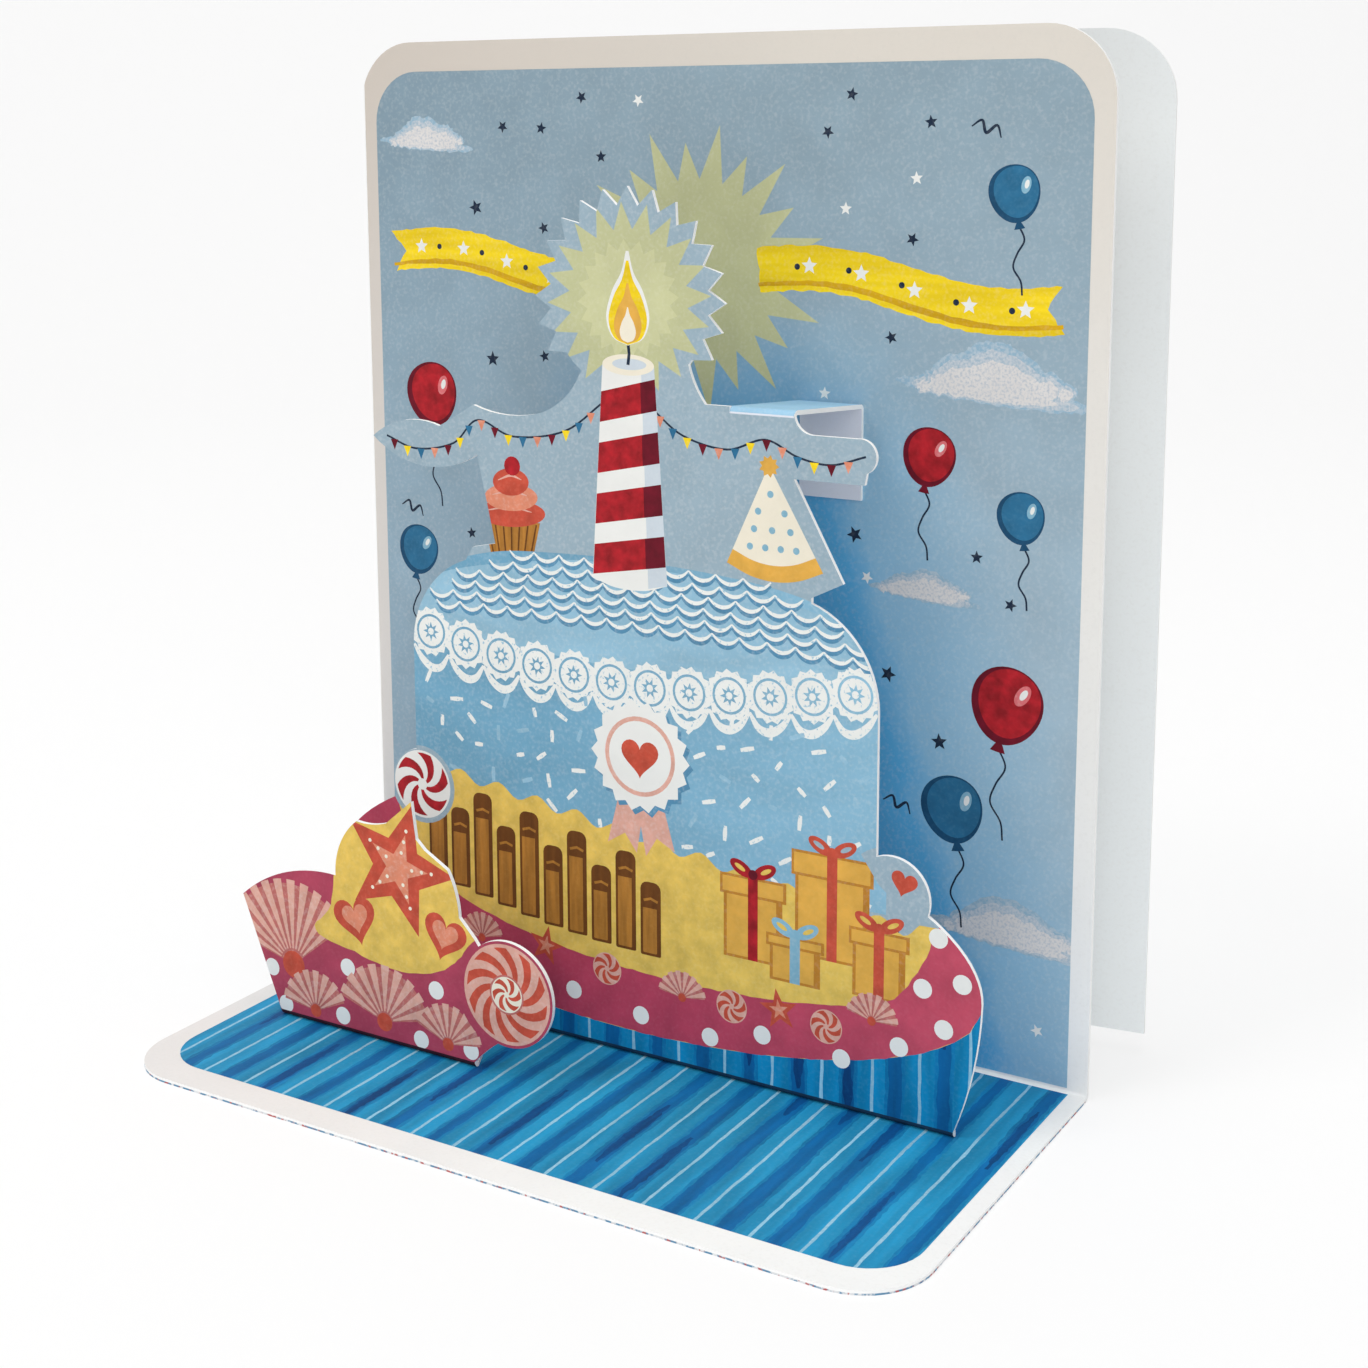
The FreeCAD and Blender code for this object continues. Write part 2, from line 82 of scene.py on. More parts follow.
def face_edges(node, level):
    """Outline edges of a piece's flat front face, as pairs of points in millimetres."""
    mesh = nodes[node].data
    seen = {}
    for polygon in mesh.polygons:
        if polygon.normal.y > -0.999 or abs(polygon.center.y / MM - level) > 0.02:
            continue
        corners = [mesh.vertices[i].co / MM for i in polygon.vertices]
        points = [(round(corner.x, 3), round(corner.z, 3)) for corner in corners]
        for edge in zip(points, points[1:] + points[:1]):
            seen.setdefault(frozenset(edge), []).append(edge)
    return [found[0] for found in seen.values() if len(found) == 1 and found[0][0] != found[0][1]]


tall_outline = face_edges("tall_layer", tall_low.y)
front_outline = face_edges("front_layer", front_low.y)
print("tall layer's outline:", len(tall_outline), "edges; front layer's:", len(front_outline))

# %% [markdown]
# ## Drawing with points
# Every motif is a closed list of points in millimetres, made by a short function. They are plain
# numpy arrays, so a motif can be moved, turned or repeated with one line of arithmetic. The
# first few shapes are the ones that a paper punch makes: discs, stars and plain boxes.

# %% Punched shapes


def ellipse(cx, cy, rx, ry, turn=0.0, count=36):
    """An ellipse, turned by some degrees."""
    t = np.linspace(0, 2 * np.pi, count, endpoint=False)
    return turned(np.column_stack([rx * np.cos(t), ry * np.sin(t)]), turn) + (cx, cy)


def disc(cx, cy, radius, count=32):
    """A round field."""
    return ellipse(cx, cy, radius, radius, count=count)


def turned(points, degrees):
    """Points turned about the origin."""
    a = math.radians(degrees)
    return np.asarray(points, float) @ np.array([[math.cos(a), math.sin(a)], [-math.sin(a), math.cos(a)]])


def star(cx, cy, outer, inner, tips=5, turn=90.0):
    """A star with straight edges."""
    t = np.radians(turn) + np.arange(2 * tips) * np.pi / tips
    r = np.where(np.arange(2 * tips) % 2 == 0, outer, inner)
    return np.column_stack([cx + r * np.cos(t), cy + r * np.sin(t)])


def box(left, bottom, right, top):
    """An upright rectangle."""
    return np.array([(left, bottom), (right, bottom), (right, top), (left, top)], float)


print("a five-pointed star has", len(star(0, 0, 2, 1)), "points")

# %% [markdown]
# ## Rounded corners and arcs
# The card's corners are rounded with a corner punch, at the top of the back panel and at the
# front of the base. A rounded box takes one radius for each corner, so the two corners at the
# crease can stay square.

# %% Rounded corners


def round_box(left, bottom, right, top, radii, count=10):
    """A rectangle with a radius for each corner, from the lower left and round to the upper left."""
    centres = [(left, bottom, 1, 1, 180), (right, bottom, -1, 1, 270),
               (right, top, -1, -1, 0), (left, top, 1, -1, 90)]
    points = []
    for (x, y, sx, sy, start), radius in zip(centres, radii):
        if radius == 0:
            points.append((x, y))
            continue
        for step in range(count + 1):
            a = math.radians(start + 90 * step / count)
            points.append((x + radius * (sx + math.cos(a)), y + radius * (sy + math.sin(a))))
    return np.array(points)


def arc(cx, cy, radius, start, end, count=12):
    """Points along part of a circle, from one angle to another in degrees."""
    t = np.radians(np.linspace(start, end, count))
    return np.column_stack([cx + radius * np.cos(t), cy + radius * np.sin(t)])


print("a box with two round corners has", len(round_box(0, 0, 9, 9, (0, 0, 2, 2))), "points")

# %% [markdown]
# ## Brush strokes
# Strings, stripes, icing and ribbons are strokes of a brush: a path with a width, which may be
# thinner at its ends. A path is given by a few points and bent evenly through them. A painted
# edge is never quite straight, so an outline can be made a little ragged, always in the same way.

# %% Brush strokes


def stroke(path, width, taper=1.0):
    """A brush stroke along a path; its ends are taper times as wide as its middle."""
    path = np.asarray(path, float)
    along = np.gradient(path, axis=0)
    side = np.column_stack([-along[:, 1], along[:, 0]])
    side /= np.linalg.norm(side, axis=1)[:, None]
    t = np.linspace(0, 1, len(path))
    half = width / 2 * (taper + (1 - taper) * np.sin(np.pi * t))
    return np.vstack([path + side * half[:, None], (path - side * half[:, None])[::-1]])


def smooth(points, count=8):
    """A curve that runs through a few points and bends evenly between them."""
    p = np.asarray(points, float)
    p = np.vstack([2 * p[0] - p[1], p, 2 * p[-1] - p[-2]])
    out = []
    for i in range(1, len(p) - 2):
        for t in np.arange(count) / count:
            out.append(0.5 * (2 * p[i] + (p[i + 1] - p[i - 1]) * t
                              + (2 * p[i - 1] - 5 * p[i] + 4 * p[i + 1] - p[i + 2]) * t ** 2
                              + (3 * p[i] - p[i - 1] - 3 * p[i + 1] + p[i + 2]) * t ** 3))
    out.append(p[-2])
    return np.array(out)


def rough(points, amount, spacing, seed):
    """A closed outline with a slightly ragged, hand-painted edge."""
    rng = random.Random(seed)
    points = np.asarray(points, float)
    out = []
    for start, end in zip(points, np.roll(points, -1, axis=0)):
        steps = max(1, int(np.linalg.norm(end - start) / spacing))
        for step in range(steps):
            out.append(start + (end - start) * step / steps
                       + np.array([rng.uniform(-amount, amount), rng.uniform(-amount, amount)]))
    return np.array(out)


print("a curve through three points has", len(smooth([(0, 0), (1, 1), (2, 0)])), "points")

# %% [markdown]
# ## Which field shows
# A painter lays one field over another, and the last one shows. To know whether a field covers a
# point, count how often its outline crosses a line from the point to the side: an odd count is
# inside. Numpy does this for many points at once, which keeps the script quick.

# %% Points inside an outline


def covers(points, starts, ends):
    """Which points lie inside a set of closed outlines."""
    x, y = points[:, 0], points[:, 1]
    x0, y0 = starts[:, 0, None], starts[:, 1, None]
    x1, y1 = ends[:, 0, None], ends[:, 1, None]
    with np.errstate(divide="ignore", invalid="ignore"):
        crossing = x0 + (y - y0) * (x1 - x0) / (y1 - y0)
    return (((y0 > y) != (y1 > y)) & (x < crossing)).sum(0) % 2 == 1


def ring_edges(polygon):
    """A closed list of points as edges."""
    return list(zip(map(tuple, polygon), map(tuple, np.roll(polygon, -1, axis=0))))


inside = covers(np.zeros((1, 2)), disc(0, 0, 1), np.roll(disc(0, 0, 1), -1, axis=0))
print("a disc covers its own middle:", bool(inside[0]))

# %% [markdown]
# ## From painted fields to one cut sheet
# A mesh can't lay faces on top of each other: they flicker and export badly. So the outlines of
# all the fields go into a constrained triangulation, which cuts the sheet along every one of
# them, and each triangle then takes the ink of the last field that covers its middle. Cutting
# real geometry, instead of painting an image, keeps the edge of an ink crisp at any distance.

# %% Cut a sheet along its fields


def triangulate(outline, painting):
    """Cut the sheet along every field; returns points, triangles and the ink of each triangle."""
    coords, edges, index = [], [], {}
    for start, end in outline + [edge for _, polygon in painting for edge in ring_edges(polygon)]:
        pair = []
        for point in (start, end):
            key = (round(float(point[0]), 3), round(float(point[1]), 3))
            if key not in index:
                index[key] = len(coords)
                coords.append(Vector(key))
            pair.append(index[key])
        if pair[0] != pair[1]:
            edges.append(pair)
    points, _, triangles, *_ = delaunay_2d_cdt(coords, edges, [], 0, 1e-4, False)
    points = np.array([tuple(point) for point in points])
    triangles = np.array([t for t in triangles if len(t) == 3])
    middles = points[triangles].mean(axis=1)
    rim = np.array(outline, float)
    keep = covers(middles, rim[:, 0], rim[:, 1])
    triangles, middles = triangles[keep], middles[keep]
    inks = [None] * len(triangles)
    for ink_name, polygon in painting:
        low, high = polygon.min(0), polygon.max(0)
        near = np.flatnonzero(((middles >= low) & (middles <= high)).all(axis=1))
        if len(near) == 0:
            continue
        hit = near[covers(middles[near], polygon, np.roll(polygon, -1, axis=0))]
        for i in hit:
            inks[i] = ink_name
    return points, triangles, inks


_, trial_triangles, _ = triangulate(ring_edges(box(0, 0, 4, 4)), [("trial", disc(2, 2, 1))])
print("a square with a disc on it is cut into", len(trial_triangles), "triangles")

# %% [markdown]
# ## A printed film
# Ink and its varnish have a thickness, and a sheet without one would leave loose faces behind.
# So each print is closed with a back and a thin rim: a film that lies just off the board. It
# rides on the card's body, like the board that carries it.

# %% Close a print into a film
FILM = 0.03
FILM_LIFT = 0.01
INKS = {}


def print_sheet(name, outline, painting, place, base_ink):
    """A closed, thin printed sheet; place(point, lift) gives a point's place in the frame."""
    points, triangles, inks = triangulate(outline, painting)
    names = [base_ink] + sorted({ink_name for ink_name, _ in painting} - {base_ink})
    used = np.unique(triangles)
    number = {old: new for new, old in enumerate(used)}
    count = len(used)
    face = [place(points[i], FILM_LIFT + FILM) for i in used]
    back = [place(points[i], FILM_LIFT) for i in used]
    faces = [[number[i] for i in t] for t in triangles]
    first = [Vector(face[i]) for i in faces[0]]
    outward = Vector(place(points[used[0]], 1.0)) - Vector(place(points[used[0]], 0.0))
    if (first[1] - first[0]).cross(first[2] - first[0]).dot(outward) < 0:
        faces = [t[::-1] for t in faces]
    slots = [names.index(ink_name or base_ink) for ink_name in inks]
    directed = {(t[k], t[(k + 1) % 3]): s for t, s in zip(faces, slots) for k in range(3)}
    rim = [(edge, s) for edge, s in directed.items() if edge[::-1] not in directed]
    shell = faces + [[i + count for i in t[::-1]] for t in faces]
    shell += [[a, a + count, b + count, b][::-1] for (a, b), _ in rim]
    mesh = bpy.data.meshes.new(name)
    mesh.from_pydata([Vector(p) * MM for p in face + back], [], shell)
    for ink_name in names:
        mesh.materials.append(INKS[ink_name])
    mesh.polygons.foreach_set("material_index", slots + [0] * len(faces) + [s for _, s in rim])
    mesh.update()
    sheet = bpy.data.objects.new(name, mesh)
    bpy.context.scene.collection.objects.link(sheet)
    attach(sheet, "root")
    print(f"{name}: {len(faces)} printed triangles in {len(names)} inks, {len(rim)} rim edges")
    return sheet


print("a printed film is", FILM, "mm thick")

# %% [markdown]
# ## Colours
# Inks are matched in steps from 0 to 255, but a shader works with light, which is
# proportional to the ink's reflectance. The first helper turns the one into the other, and the
# second makes a lighter or darker ink of the same hue.

# %% Colours for a shader


def srgb(red, green, blue):
    """A colour from 0 to 255 as the linear values that a shader takes."""
    shares = [channel / 255 for channel in (red, green, blue)]
    linear = [v / 12.92 if v <= 0.04045 else ((v + 0.055) / 1.055) ** 2.4 for v in shares]
    return (*linear, 1.0)


def shade(colour, factor):
    """The colour, lighter or darker."""
    return tuple(min(1.0, channel * factor) for channel in colour[:3]) + (1.0,)


print("half grey in linear light:", round(srgb(128, 128, 128)[0], 3))

# %% [markdown]
# ## Noise, ranges and blends
# Printed board isn't one flat colour. The artwork here has a chalky, hand-made look: broad
# patches drift lighter and darker, and fine specks of the board show through. Both come from
# noise measured in real millimetres, so a speck is as large on the base as on the disc. A blend
# along an axis serves where one colour runs slowly into another.

# %% Shader helpers


def noise(tree, millimetres, stretch=(1, 1, 1), detail=2.0, offset=0.0):
    """Noise whose blobs are about so many millimetres wide."""
    coords = tree.nodes.new("ShaderNodeTexCoord")
    mapping = tree.nodes.new("ShaderNodeMapping")
    mapping.inputs["Scale"].default_value = stretch
    mapping.inputs["Location"].default_value = (offset, offset, offset)
    texture = tree.nodes.new("ShaderNodeTexNoise")
    texture.inputs["Scale"].default_value = 1 / (millimetres * MM)
    texture.inputs["Detail"].default_value = detail
    tree.links.new(coords.outputs["Object"], mapping.inputs["Vector"])
    tree.links.new(mapping.outputs["Vector"], texture.inputs["Vector"])
    return texture.outputs["Fac"]


def spread(tree, value, low, high, to_low=0.0, to_high=1.0):
    """A value's range opened out to another range, and held there."""
    node = tree.nodes.new("ShaderNodeMapRange")
    for name, number in (("From Min", low), ("From Max", high), ("To Min", to_low), ("To Max", to_high)):
        node.inputs[name].default_value = number
    tree.links.new(value, node.inputs["Value"])
    return node.outputs["Result"]


def mix(tree, factor, first, second, blend="MIX"):
    """Two colours, or the outputs of two nodes, blended by a factor."""
    node = tree.nodes.new("ShaderNodeMix")
    node.data_type = "RGBA"
    node.blend_type = blend
    tree.links.new(factor, node.inputs["Factor"])
    for socket, value in ((node.inputs[6], first), (node.inputs[7], second)):
        if isinstance(value, tuple):
            socket.default_value = value
        else:
            tree.links.new(value, socket)
    return node.outputs[2]


def blend_along(tree, axis, low, high):
    """0 up to one place and 1 past another, in millimetres along an axis."""
    coords = tree.nodes.new("ShaderNodeTexCoord")
    split = tree.nodes.new("ShaderNodeSeparateXYZ")
    tree.links.new(coords.outputs["Object"], split.inputs["Vector"])
    return spread(tree, split.outputs[axis.upper()], low * MM, high * MM)


print("four shader helpers are ready")

# %% [markdown]
# ## The sky's wash and painted shadow
# Beside the tall layer the sky is a deeper blue, partly a wash in the print and partly a painted
# shadow of the tall layer that follows its right side. It is strong at an edge that leans to the
# right, fades slowly away from it, and stops short of the top and the left. The leaning edge is
# the object's own coordinates turned by an angle, and noise makes it wander. Towards its left
# edge the whole sky is a little darker as well: painted shade, where less light falls.

# %% Wash the sky and paint its shade
SKY_HIGH = (143, 165, 178)
SKY_LOW = (161, 185, 200)
# Deep and pale blue beside the tall layer: partly a wash in the print, partly the layer's painted shadow.
SHADOW_WASH_DEEP = (92, 174, 220)
SHADOW_WASH_PALE = (142, 190, 218)
SHADOW_WASH_LEAN, SHADOW_WASH_WANDER = 18.3, 9.0
SHADOW_WASH_FULL, SHADOW_WASH_THIN = (50.5, 55.5), (55.0, 76.0)
SHADOW_WASH_TOP, SHADOW_WASH_LEFT = (88, 112), (-30, 0)
# Painted shade: the sky grows a little darker towards the card's left edge, where less light falls.
SKY_LEFT_SHADE, SKY_LEFT_SHADE_SPAN = (0.85, 0.88, 0.90, 1.0), (-5, -60)


def shadow_wash_side(tree, drift):
    """Millimetres across the sky's wash and painted shadow, square to its leaning edge, which wanders by the
    drift.
    """
    coords = tree.nodes.new("ShaderNodeTexCoord")
    mapping = tree.nodes.new("ShaderNodeMapping")
    mapping.inputs["Rotation"].default_value = (0, math.radians(SHADOW_WASH_LEAN), 0)
    split = tree.nodes.new("ShaderNodeSeparateXYZ")
    wander = tree.nodes.new("ShaderNodeMath")
    wander.operation = "MULTIPLY_ADD"
    wander.inputs[1].default_value = SHADOW_WASH_WANDER * MM
    tree.links.new(coords.outputs["Object"], mapping.inputs["Vector"])
    tree.links.new(mapping.outputs["Vector"], split.inputs["Vector"])
    tree.links.new(drift, wander.inputs[0])
    tree.links.new(split.outputs["X"], wander.inputs[2])
    return wander.outputs["Value"]


def wash_and_shadow(tree, sky):
    """Deeper blue beside the tall layer, partly a print wash and partly its painted shadow: strong at its
    edge, then slowly fading; the sky is also painted a little darker towards the left, as shade.
    """
    drift = noise(tree, 11.0, detail=4.0, offset=12.0)
    across = shadow_wash_side(tree, drift)
    thin = mix(tree, spread(tree, across, *(v * MM for v in SHADOW_WASH_THIN)), srgb(*SHADOW_WASH_PALE), sky)
    full = mix(tree, spread(tree, across, *(v * MM for v in SHADOW_WASH_FULL)), srgb(*SHADOW_WASH_DEEP), thin)
    full = mix(tree, blend_along(tree, "z", *SHADOW_WASH_TOP), full, sky)
    full = mix(tree, blend_along(tree, "x", *SHADOW_WASH_LEFT), sky, full)
    return mix(tree, blend_along(tree, "x", *SKY_LEFT_SHADE_SPAN), full, SKY_LEFT_SHADE, "MULTIPLY")


print("the wash leans by", SHADOW_WASH_LEAN, "degrees")

# %% [markdown]
# ## Ink on uncoated board
# Uncoated board has a soft sheen and a fine fibre, which a middling roughness and a thin bump
# give. An ink is that surface with its own colour: it drifts in patches, light and dark specks
# show in it, and a chalky ink lets what lies under it show through.

# %% An ink
ROUGH_BOARD, SHEEN = 0.62, 0.2
FIBRE_MM, FIBRE_BUMP, FIBRE_DEPTH = 0.35, 0.25, 0.05
PALE_SPECK_MM, DARK_SPECK_MM = 0.55, 0.7


def finish_board(material, colour, grain=1.0):
    """The surface that all board shares: soft sheen and a fine fibre bump."""
    tree = material.node_tree
    shader = tree.nodes["Principled BSDF"]
    tree.links.new(colour, shader.inputs["Base Color"])
    shader.inputs["Roughness"].default_value = ROUGH_BOARD
    shader.inputs["Specular IOR Level"].default_value = SHEEN
    bump = tree.nodes.new("ShaderNodeBump")
    bump.inputs["Strength"].default_value = FIBRE_BUMP * grain
    bump.inputs["Distance"].default_value = FIBRE_DEPTH * MM
    tree.links.new(noise(tree, FIBRE_MM, detail=3.0), bump.inputs["Height"])
    tree.links.new(bump.outputs["Normal"], shader.inputs["Normal"])


def new_material(name):
    """An empty material with nodes."""
    material = bpy.data.materials.new(name)
    material.use_nodes = True
    return material


def ink(name, rgb, patch=0.10, patch_mm=7.0, speck=0.16, speck_rgb=(245, 243, 238), stretch=(1, 1, 1),
        far_rgb=None, far_axis="z", far_span=(10, 90), chalk=None, wash=None):
    """An ink with patches and specks; far_rgb is its colour past far_span, chalk what shows through."""
    material = new_material(name)
    tree = material.node_tree
    colour = srgb(*rgb)
    drift = spread(tree, noise(tree, patch_mm, stretch, detail=3.0), 0.3, 0.7)
    base = mix(tree, drift, shade(colour, 1 - patch), shade(colour, 1 + patch))
    if far_rgb:
        far = srgb(*far_rgb)
        far = mix(tree, drift, shade(far, 1 - patch), shade(far, 1 + patch))
        base = mix(tree, blend_along(tree, far_axis, *far_span), base, far)
    if wash:
        base = wash(tree, base)
    specks = spread(tree, noise(tree, PALE_SPECK_MM, detail=4.0, offset=3.0), 0.48, 0.72, 0.0, speck)
    base = mix(tree, specks, base, srgb(*speck_rgb))
    dark_specks = spread(tree, noise(tree, DARK_SPECK_MM, detail=4.0, offset=9.0), 0.55, 0.8, 0.0, speck)
    base = mix(tree, dark_specks, base, shade(colour, 0.55))
    if chalk:
        under, millimetres, low, high = chalk
        cover = spread(tree, noise(tree, millimetres, detail=5.0, offset=5.0), low, high)
        base = mix(tree, cover, srgb(*under), base)
    finish_board(material, base)
    INKS[name] = material


# The sky's ink carries the wash, the tall layer's painted shadow and the painted shade towards the left.
ink("sky", SKY_LOW, far_rgb=SKY_HIGH, far_span=(60, 140), patch=0.05, speck=0.12, wash=wash_and_shadow)
ink("layer_sky", (154, 176, 189), patch=0.04, speck=0.16)
ink("ray", (192, 194, 149), patch=0.06, speck=0.10)
ink("ray_light", (202, 203, 157), patch=0.06, speck=0.10)
print(len(INKS), "inks for the sky and its sunburst")

# %% [markdown]
# ## Mixing the other inks
# The card is printed in a small family of party colours. Balloons, ribbons and boxes need each
# colour two or three times, lit and in shade. White is never paper white: a print always keeps
# some tint, and the cut edges have to stay the whitest thing on the card.

# %% Reds, blues, yellows and whites
ink("yellow", (244, 208, 24), patch=0.16, patch_mm=2.2, stretch=(0.10, 1, 1), speck=0.08)
ink("yellow_dark", (216, 168, 16), patch=0.18, patch_mm=2.0, stretch=(0.10, 1, 1), speck=0.06)
ink("red", (166, 26, 36), patch=0.34, patch_mm=1.7, speck=0.12, speck_rgb=(206, 62, 70))
ink("red_dark", (104, 10, 32), patch=0.24, patch_mm=1.7, speck=0.06, speck_rgb=(150, 36, 56))
ink("red_light", (222, 112, 116), patch=0.10, speck=0.12)
ink("teal", (42, 108, 146), patch=0.16, patch_mm=3, speck=0.10, speck_rgb=(120, 170, 196))
ink("teal_dark", (24, 74, 108), patch=0.14, patch_mm=3, speck=0.08, speck_rgb=(90, 140, 170))
ink("teal_light", (132, 180, 202), patch=0.08, speck=0.12)
ink("navy", (24, 40, 62), patch=0.10, speck=0.04)
ink("white", (236, 236, 232), patch=0.03, speck=0.05)
ink("candle_shade", (204, 214, 222), patch=0.04, speck=0.08)
ink("strut_blue", (156, 199, 226), patch=0.05, speck=0.10)
ink("cloud_haze", (178, 196, 208), patch=0.04, speck=0.10, chalk=((148, 180, 200), 0.45, 0.40, 0.62))
ink("cloud_thin", (200, 206, 212), patch=0.04, speck=0.10, chalk=((160, 184, 200), 0.40, 0.34, 0.58))
ink("cloud", (222, 219, 217), patch=0.04, speck=0.10, chalk=((184, 192, 202), 0.40, 0.30, 0.54))
print(len(INKS), "inks so far")

# %% [markdown]
# ## Inks for cake, cream and board
# Icing is painted thinly, so the blue under it shows through like chalk. The cake is a little
# paler to its right, the grain of the wafer runs up the stick, and the rose of the board comes
# once for each layer: on the front layer it is a shade deeper, which is painted shade, because
# that layer takes less light.

# %% Inks for the cake and the board
UNDER_ICING = (150, 192, 214)
ink("icing", (236, 237, 233), patch=0.03, speck=0.06, chalk=(UNDER_ICING, 0.5, 0.30, 0.42))
ink("cake_blue", (112, 164, 192), patch=0.10, patch_mm=9, stretch=(0.35, 1, 1), speck=0.14,
    far_rgb=(140, 186, 210), far_axis="x", far_span=(-15, 45))
ink("cake_pale", (146, 188, 210), patch=0.10, patch_mm=5, stretch=(0.35, 1, 1), speck=0.14)
ink("cake_deep", (84, 140, 174), patch=0.12, patch_mm=3, stretch=(0.35, 1, 1), speck=0.16)
ink("cream", (240, 232, 212), patch=0.04, speck=0.06)
ink("custard", (228, 192, 92), patch=0.14, patch_mm=2.6, speck=0.20, speck_rgb=(244, 222, 150))
ink("gold", (224, 170, 74), patch=0.12, patch_mm=3, speck=0.12, speck_rgb=(242, 204, 120))
ink("gold_dark", (190, 128, 44), patch=0.12, patch_mm=3, speck=0.08)
ink("wafer", (172, 116, 46), patch=0.28, patch_mm=2.4, stretch=(2.5, 1, 0.25), speck=0.12,
    speck_rgb=(208, 158, 88))
ink("wafer_dark", (106, 62, 22), patch=0.25, patch_mm=2.4, stretch=(2.5, 1, 0.25), speck=0.10,
    speck_rgb=(150, 100, 50))
ink("coral", (196, 78, 58), patch=0.18, patch_mm=2.5, speck=0.14, speck_rgb=(230, 138, 112))
ink("coral_light", (222, 138, 108), patch=0.10, patch_mm=2.5, speck=0.16)
ink("blush", (222, 168, 152), patch=0.10, patch_mm=2.5, speck=0.18)
ink("blush_deep", (188, 106, 100), patch=0.14, patch_mm=2.5, speck=0.16)
ink("rose", (184, 66, 92), patch=0.14, patch_mm=5, speck=0.14, speck_rgb=(206, 112, 130),
    far_rgb=(196, 78, 100), far_axis="x", far_span=(10, 55))
# The front layer's rose is the same rose in painted shade, a little darker, because that layer takes less
# light.
ink("rose_front", (174, 66, 90), patch=0.14, patch_mm=5, speck=0.14, speck_rgb=(204, 112, 128))
print(len(INKS), "inks so far")

# %% [markdown]
# ## Brushed blues
# The stripes on the base and on the skirt are brushed, so their patches are drawn out along the
# stripe: from front to back on the base, up and down on the skirt. Both take the same five inks,
# each a shade deeper on the skirt, from one table.

# %% Inks for the stripes
GRAINS = {"base": (1, 0.12, 1), "skirt": (1, 1, 0.12)}
BRUSHED = [
    ("mid", {"base": (30, 142, 188), "skirt": (4, 132, 184)}, 0.24, 2.6, 0.10, (110, 178, 210)),
    ("half", {"base": (14, 122, 174), "skirt": (2, 114, 168)}, 0.22, 1.6, 0.20, (60, 154, 196)),
    ("dark", {"base": (2, 100, 160), "skirt": (0, 92, 150)}, 0.22, 1.6, 0.12, (30, 132, 184)),
    ("deep", {"base": (0, 74, 132), "skirt": (0, 64, 120)}, 0.26, 1.4, 0.16, (14, 108, 164)),
]
for place_name, grain in GRAINS.items():
    for part, shades, patch, patch_mm, speck, speck_rgb in BRUSHED:
        ink(f"{place_name}_{part}", shades[place_name], patch, patch_mm, speck, speck_rgb, grain)
    ink(f"{place_name}_light", (138, 192, 218), patch=0.14, patch_mm=2.2, stretch=grain, speck=0.18)
print(len(INKS), "inks mixed")

# %% [markdown]
# ## Balloons
# The same few party motifs return all over the card, and each is a function that lays its fields
# into a painting from the back to the front. A balloon has a dark side, a lit body pushed towards
# the light, a glint, a knot and a string, so it reads as round even though its inks are flat.

# %% Balloons


def paint_balloon(painting, x, y, size, colour, lean=0.0, tail=9.0):
    """A balloon with a shaded side, a glint, a knot and a wavy string."""
    down = math.radians(lean - 90)
    knot = np.array([x + size * 1.22 * math.cos(down), y + size * 1.22 * math.sin(down)])
    sway = [knot + (size * 0.22 * math.sin(step * 1.7), -tail * step / 5) for step in range(6)]
    painting.append(("navy", stroke(smooth(sway), 0.28)))
    knot += (0, size * 0.02)
    painting.append((f"{colour}_dark", star(*knot, size * 0.26, size * 0.14, 3, lean + 90)))
    lit = size * 0.07
    bodies = [(f"{colour}_dark", 1.04, 1.10, 44, 0.0), (colour, 0.90, 0.97, 40, lit)]
    for name, wide, high, count, offset in bodies:
        body = ellipse(0, 0, size * wide, size * high, count=count)
        body[:, 0] *= 1 + 0.10 * body[:, 1] / size
        painting.append((name, turned(body, lean) + (x + offset, y + offset)))
    glint = np.array([x + size * 0.46, y + size * 0.34])
    painting.append((f"{colour}_light", ellipse(*glint, size * 0.19, size * 0.33, lean - 24)))
    painting.append(("white", ellipse(*(glint + size * 0.03), size * 0.09, size * 0.17, lean - 24)))


def fields_in(paint, *sizes):
    """How many fields a motif lays into a painting."""
    painting = []
    paint(painting, *sizes)
    return len(painting)


print("fields in a balloon:", fields_in(paint_balloon, 0, 0, 4, "red"))

# %% [markdown]
# ## Clouds
# The painter dabbed the clouds with an almost dry brush: a haze at their edge and fuller white
# inside. So a cloud is a row of ragged puffs, highest in its middle, laid three times over
# itself, each time smaller and whiter.

# %% Clouds


def paint_cloud(painting, x, y, size, seed):
    """A chalky heap of puffs, highest in its middle: haze outside, fuller white inside."""
    rng = random.Random(seed)
    puffs = [(along / 4, rng.uniform(0.85, 1.15)) for along in range(-4, 5)]
    for name, grow in (("cloud_haze", 1.14), ("cloud_thin", 0.95), ("cloud", 0.72)):
        for number, (along, swell) in enumerate(puffs):
            radius = size * (0.40 - 0.28 * abs(along)) * swell * grow
            puff = ellipse(x + size * along, y + radius * 0.62, radius * 1.15, radius * 0.92, count=30)
            painting.append((name, rough(puff, 0.24, 0.5, seed + number)))
        foot = ellipse(x, y, size * 1.25 * grow, size * 0.12 * grow, -5)
        painting.append((name, rough(foot, 0.18, 0.5, seed + 50)))


print("fields in a cloud:", fields_in(paint_cloud, 0, 0, 10, 1))

# %% [markdown]
# ## Scattered places and bunting
# Stars and sprinkles look thrown, but a painter keeps them apart and clear of the motifs. So a
# place is drawn at random and kept only if it has room, always from the same seed. Bunting is
# the opposite: flags at even steps, measured along the string.

# %% Scatter and bunting


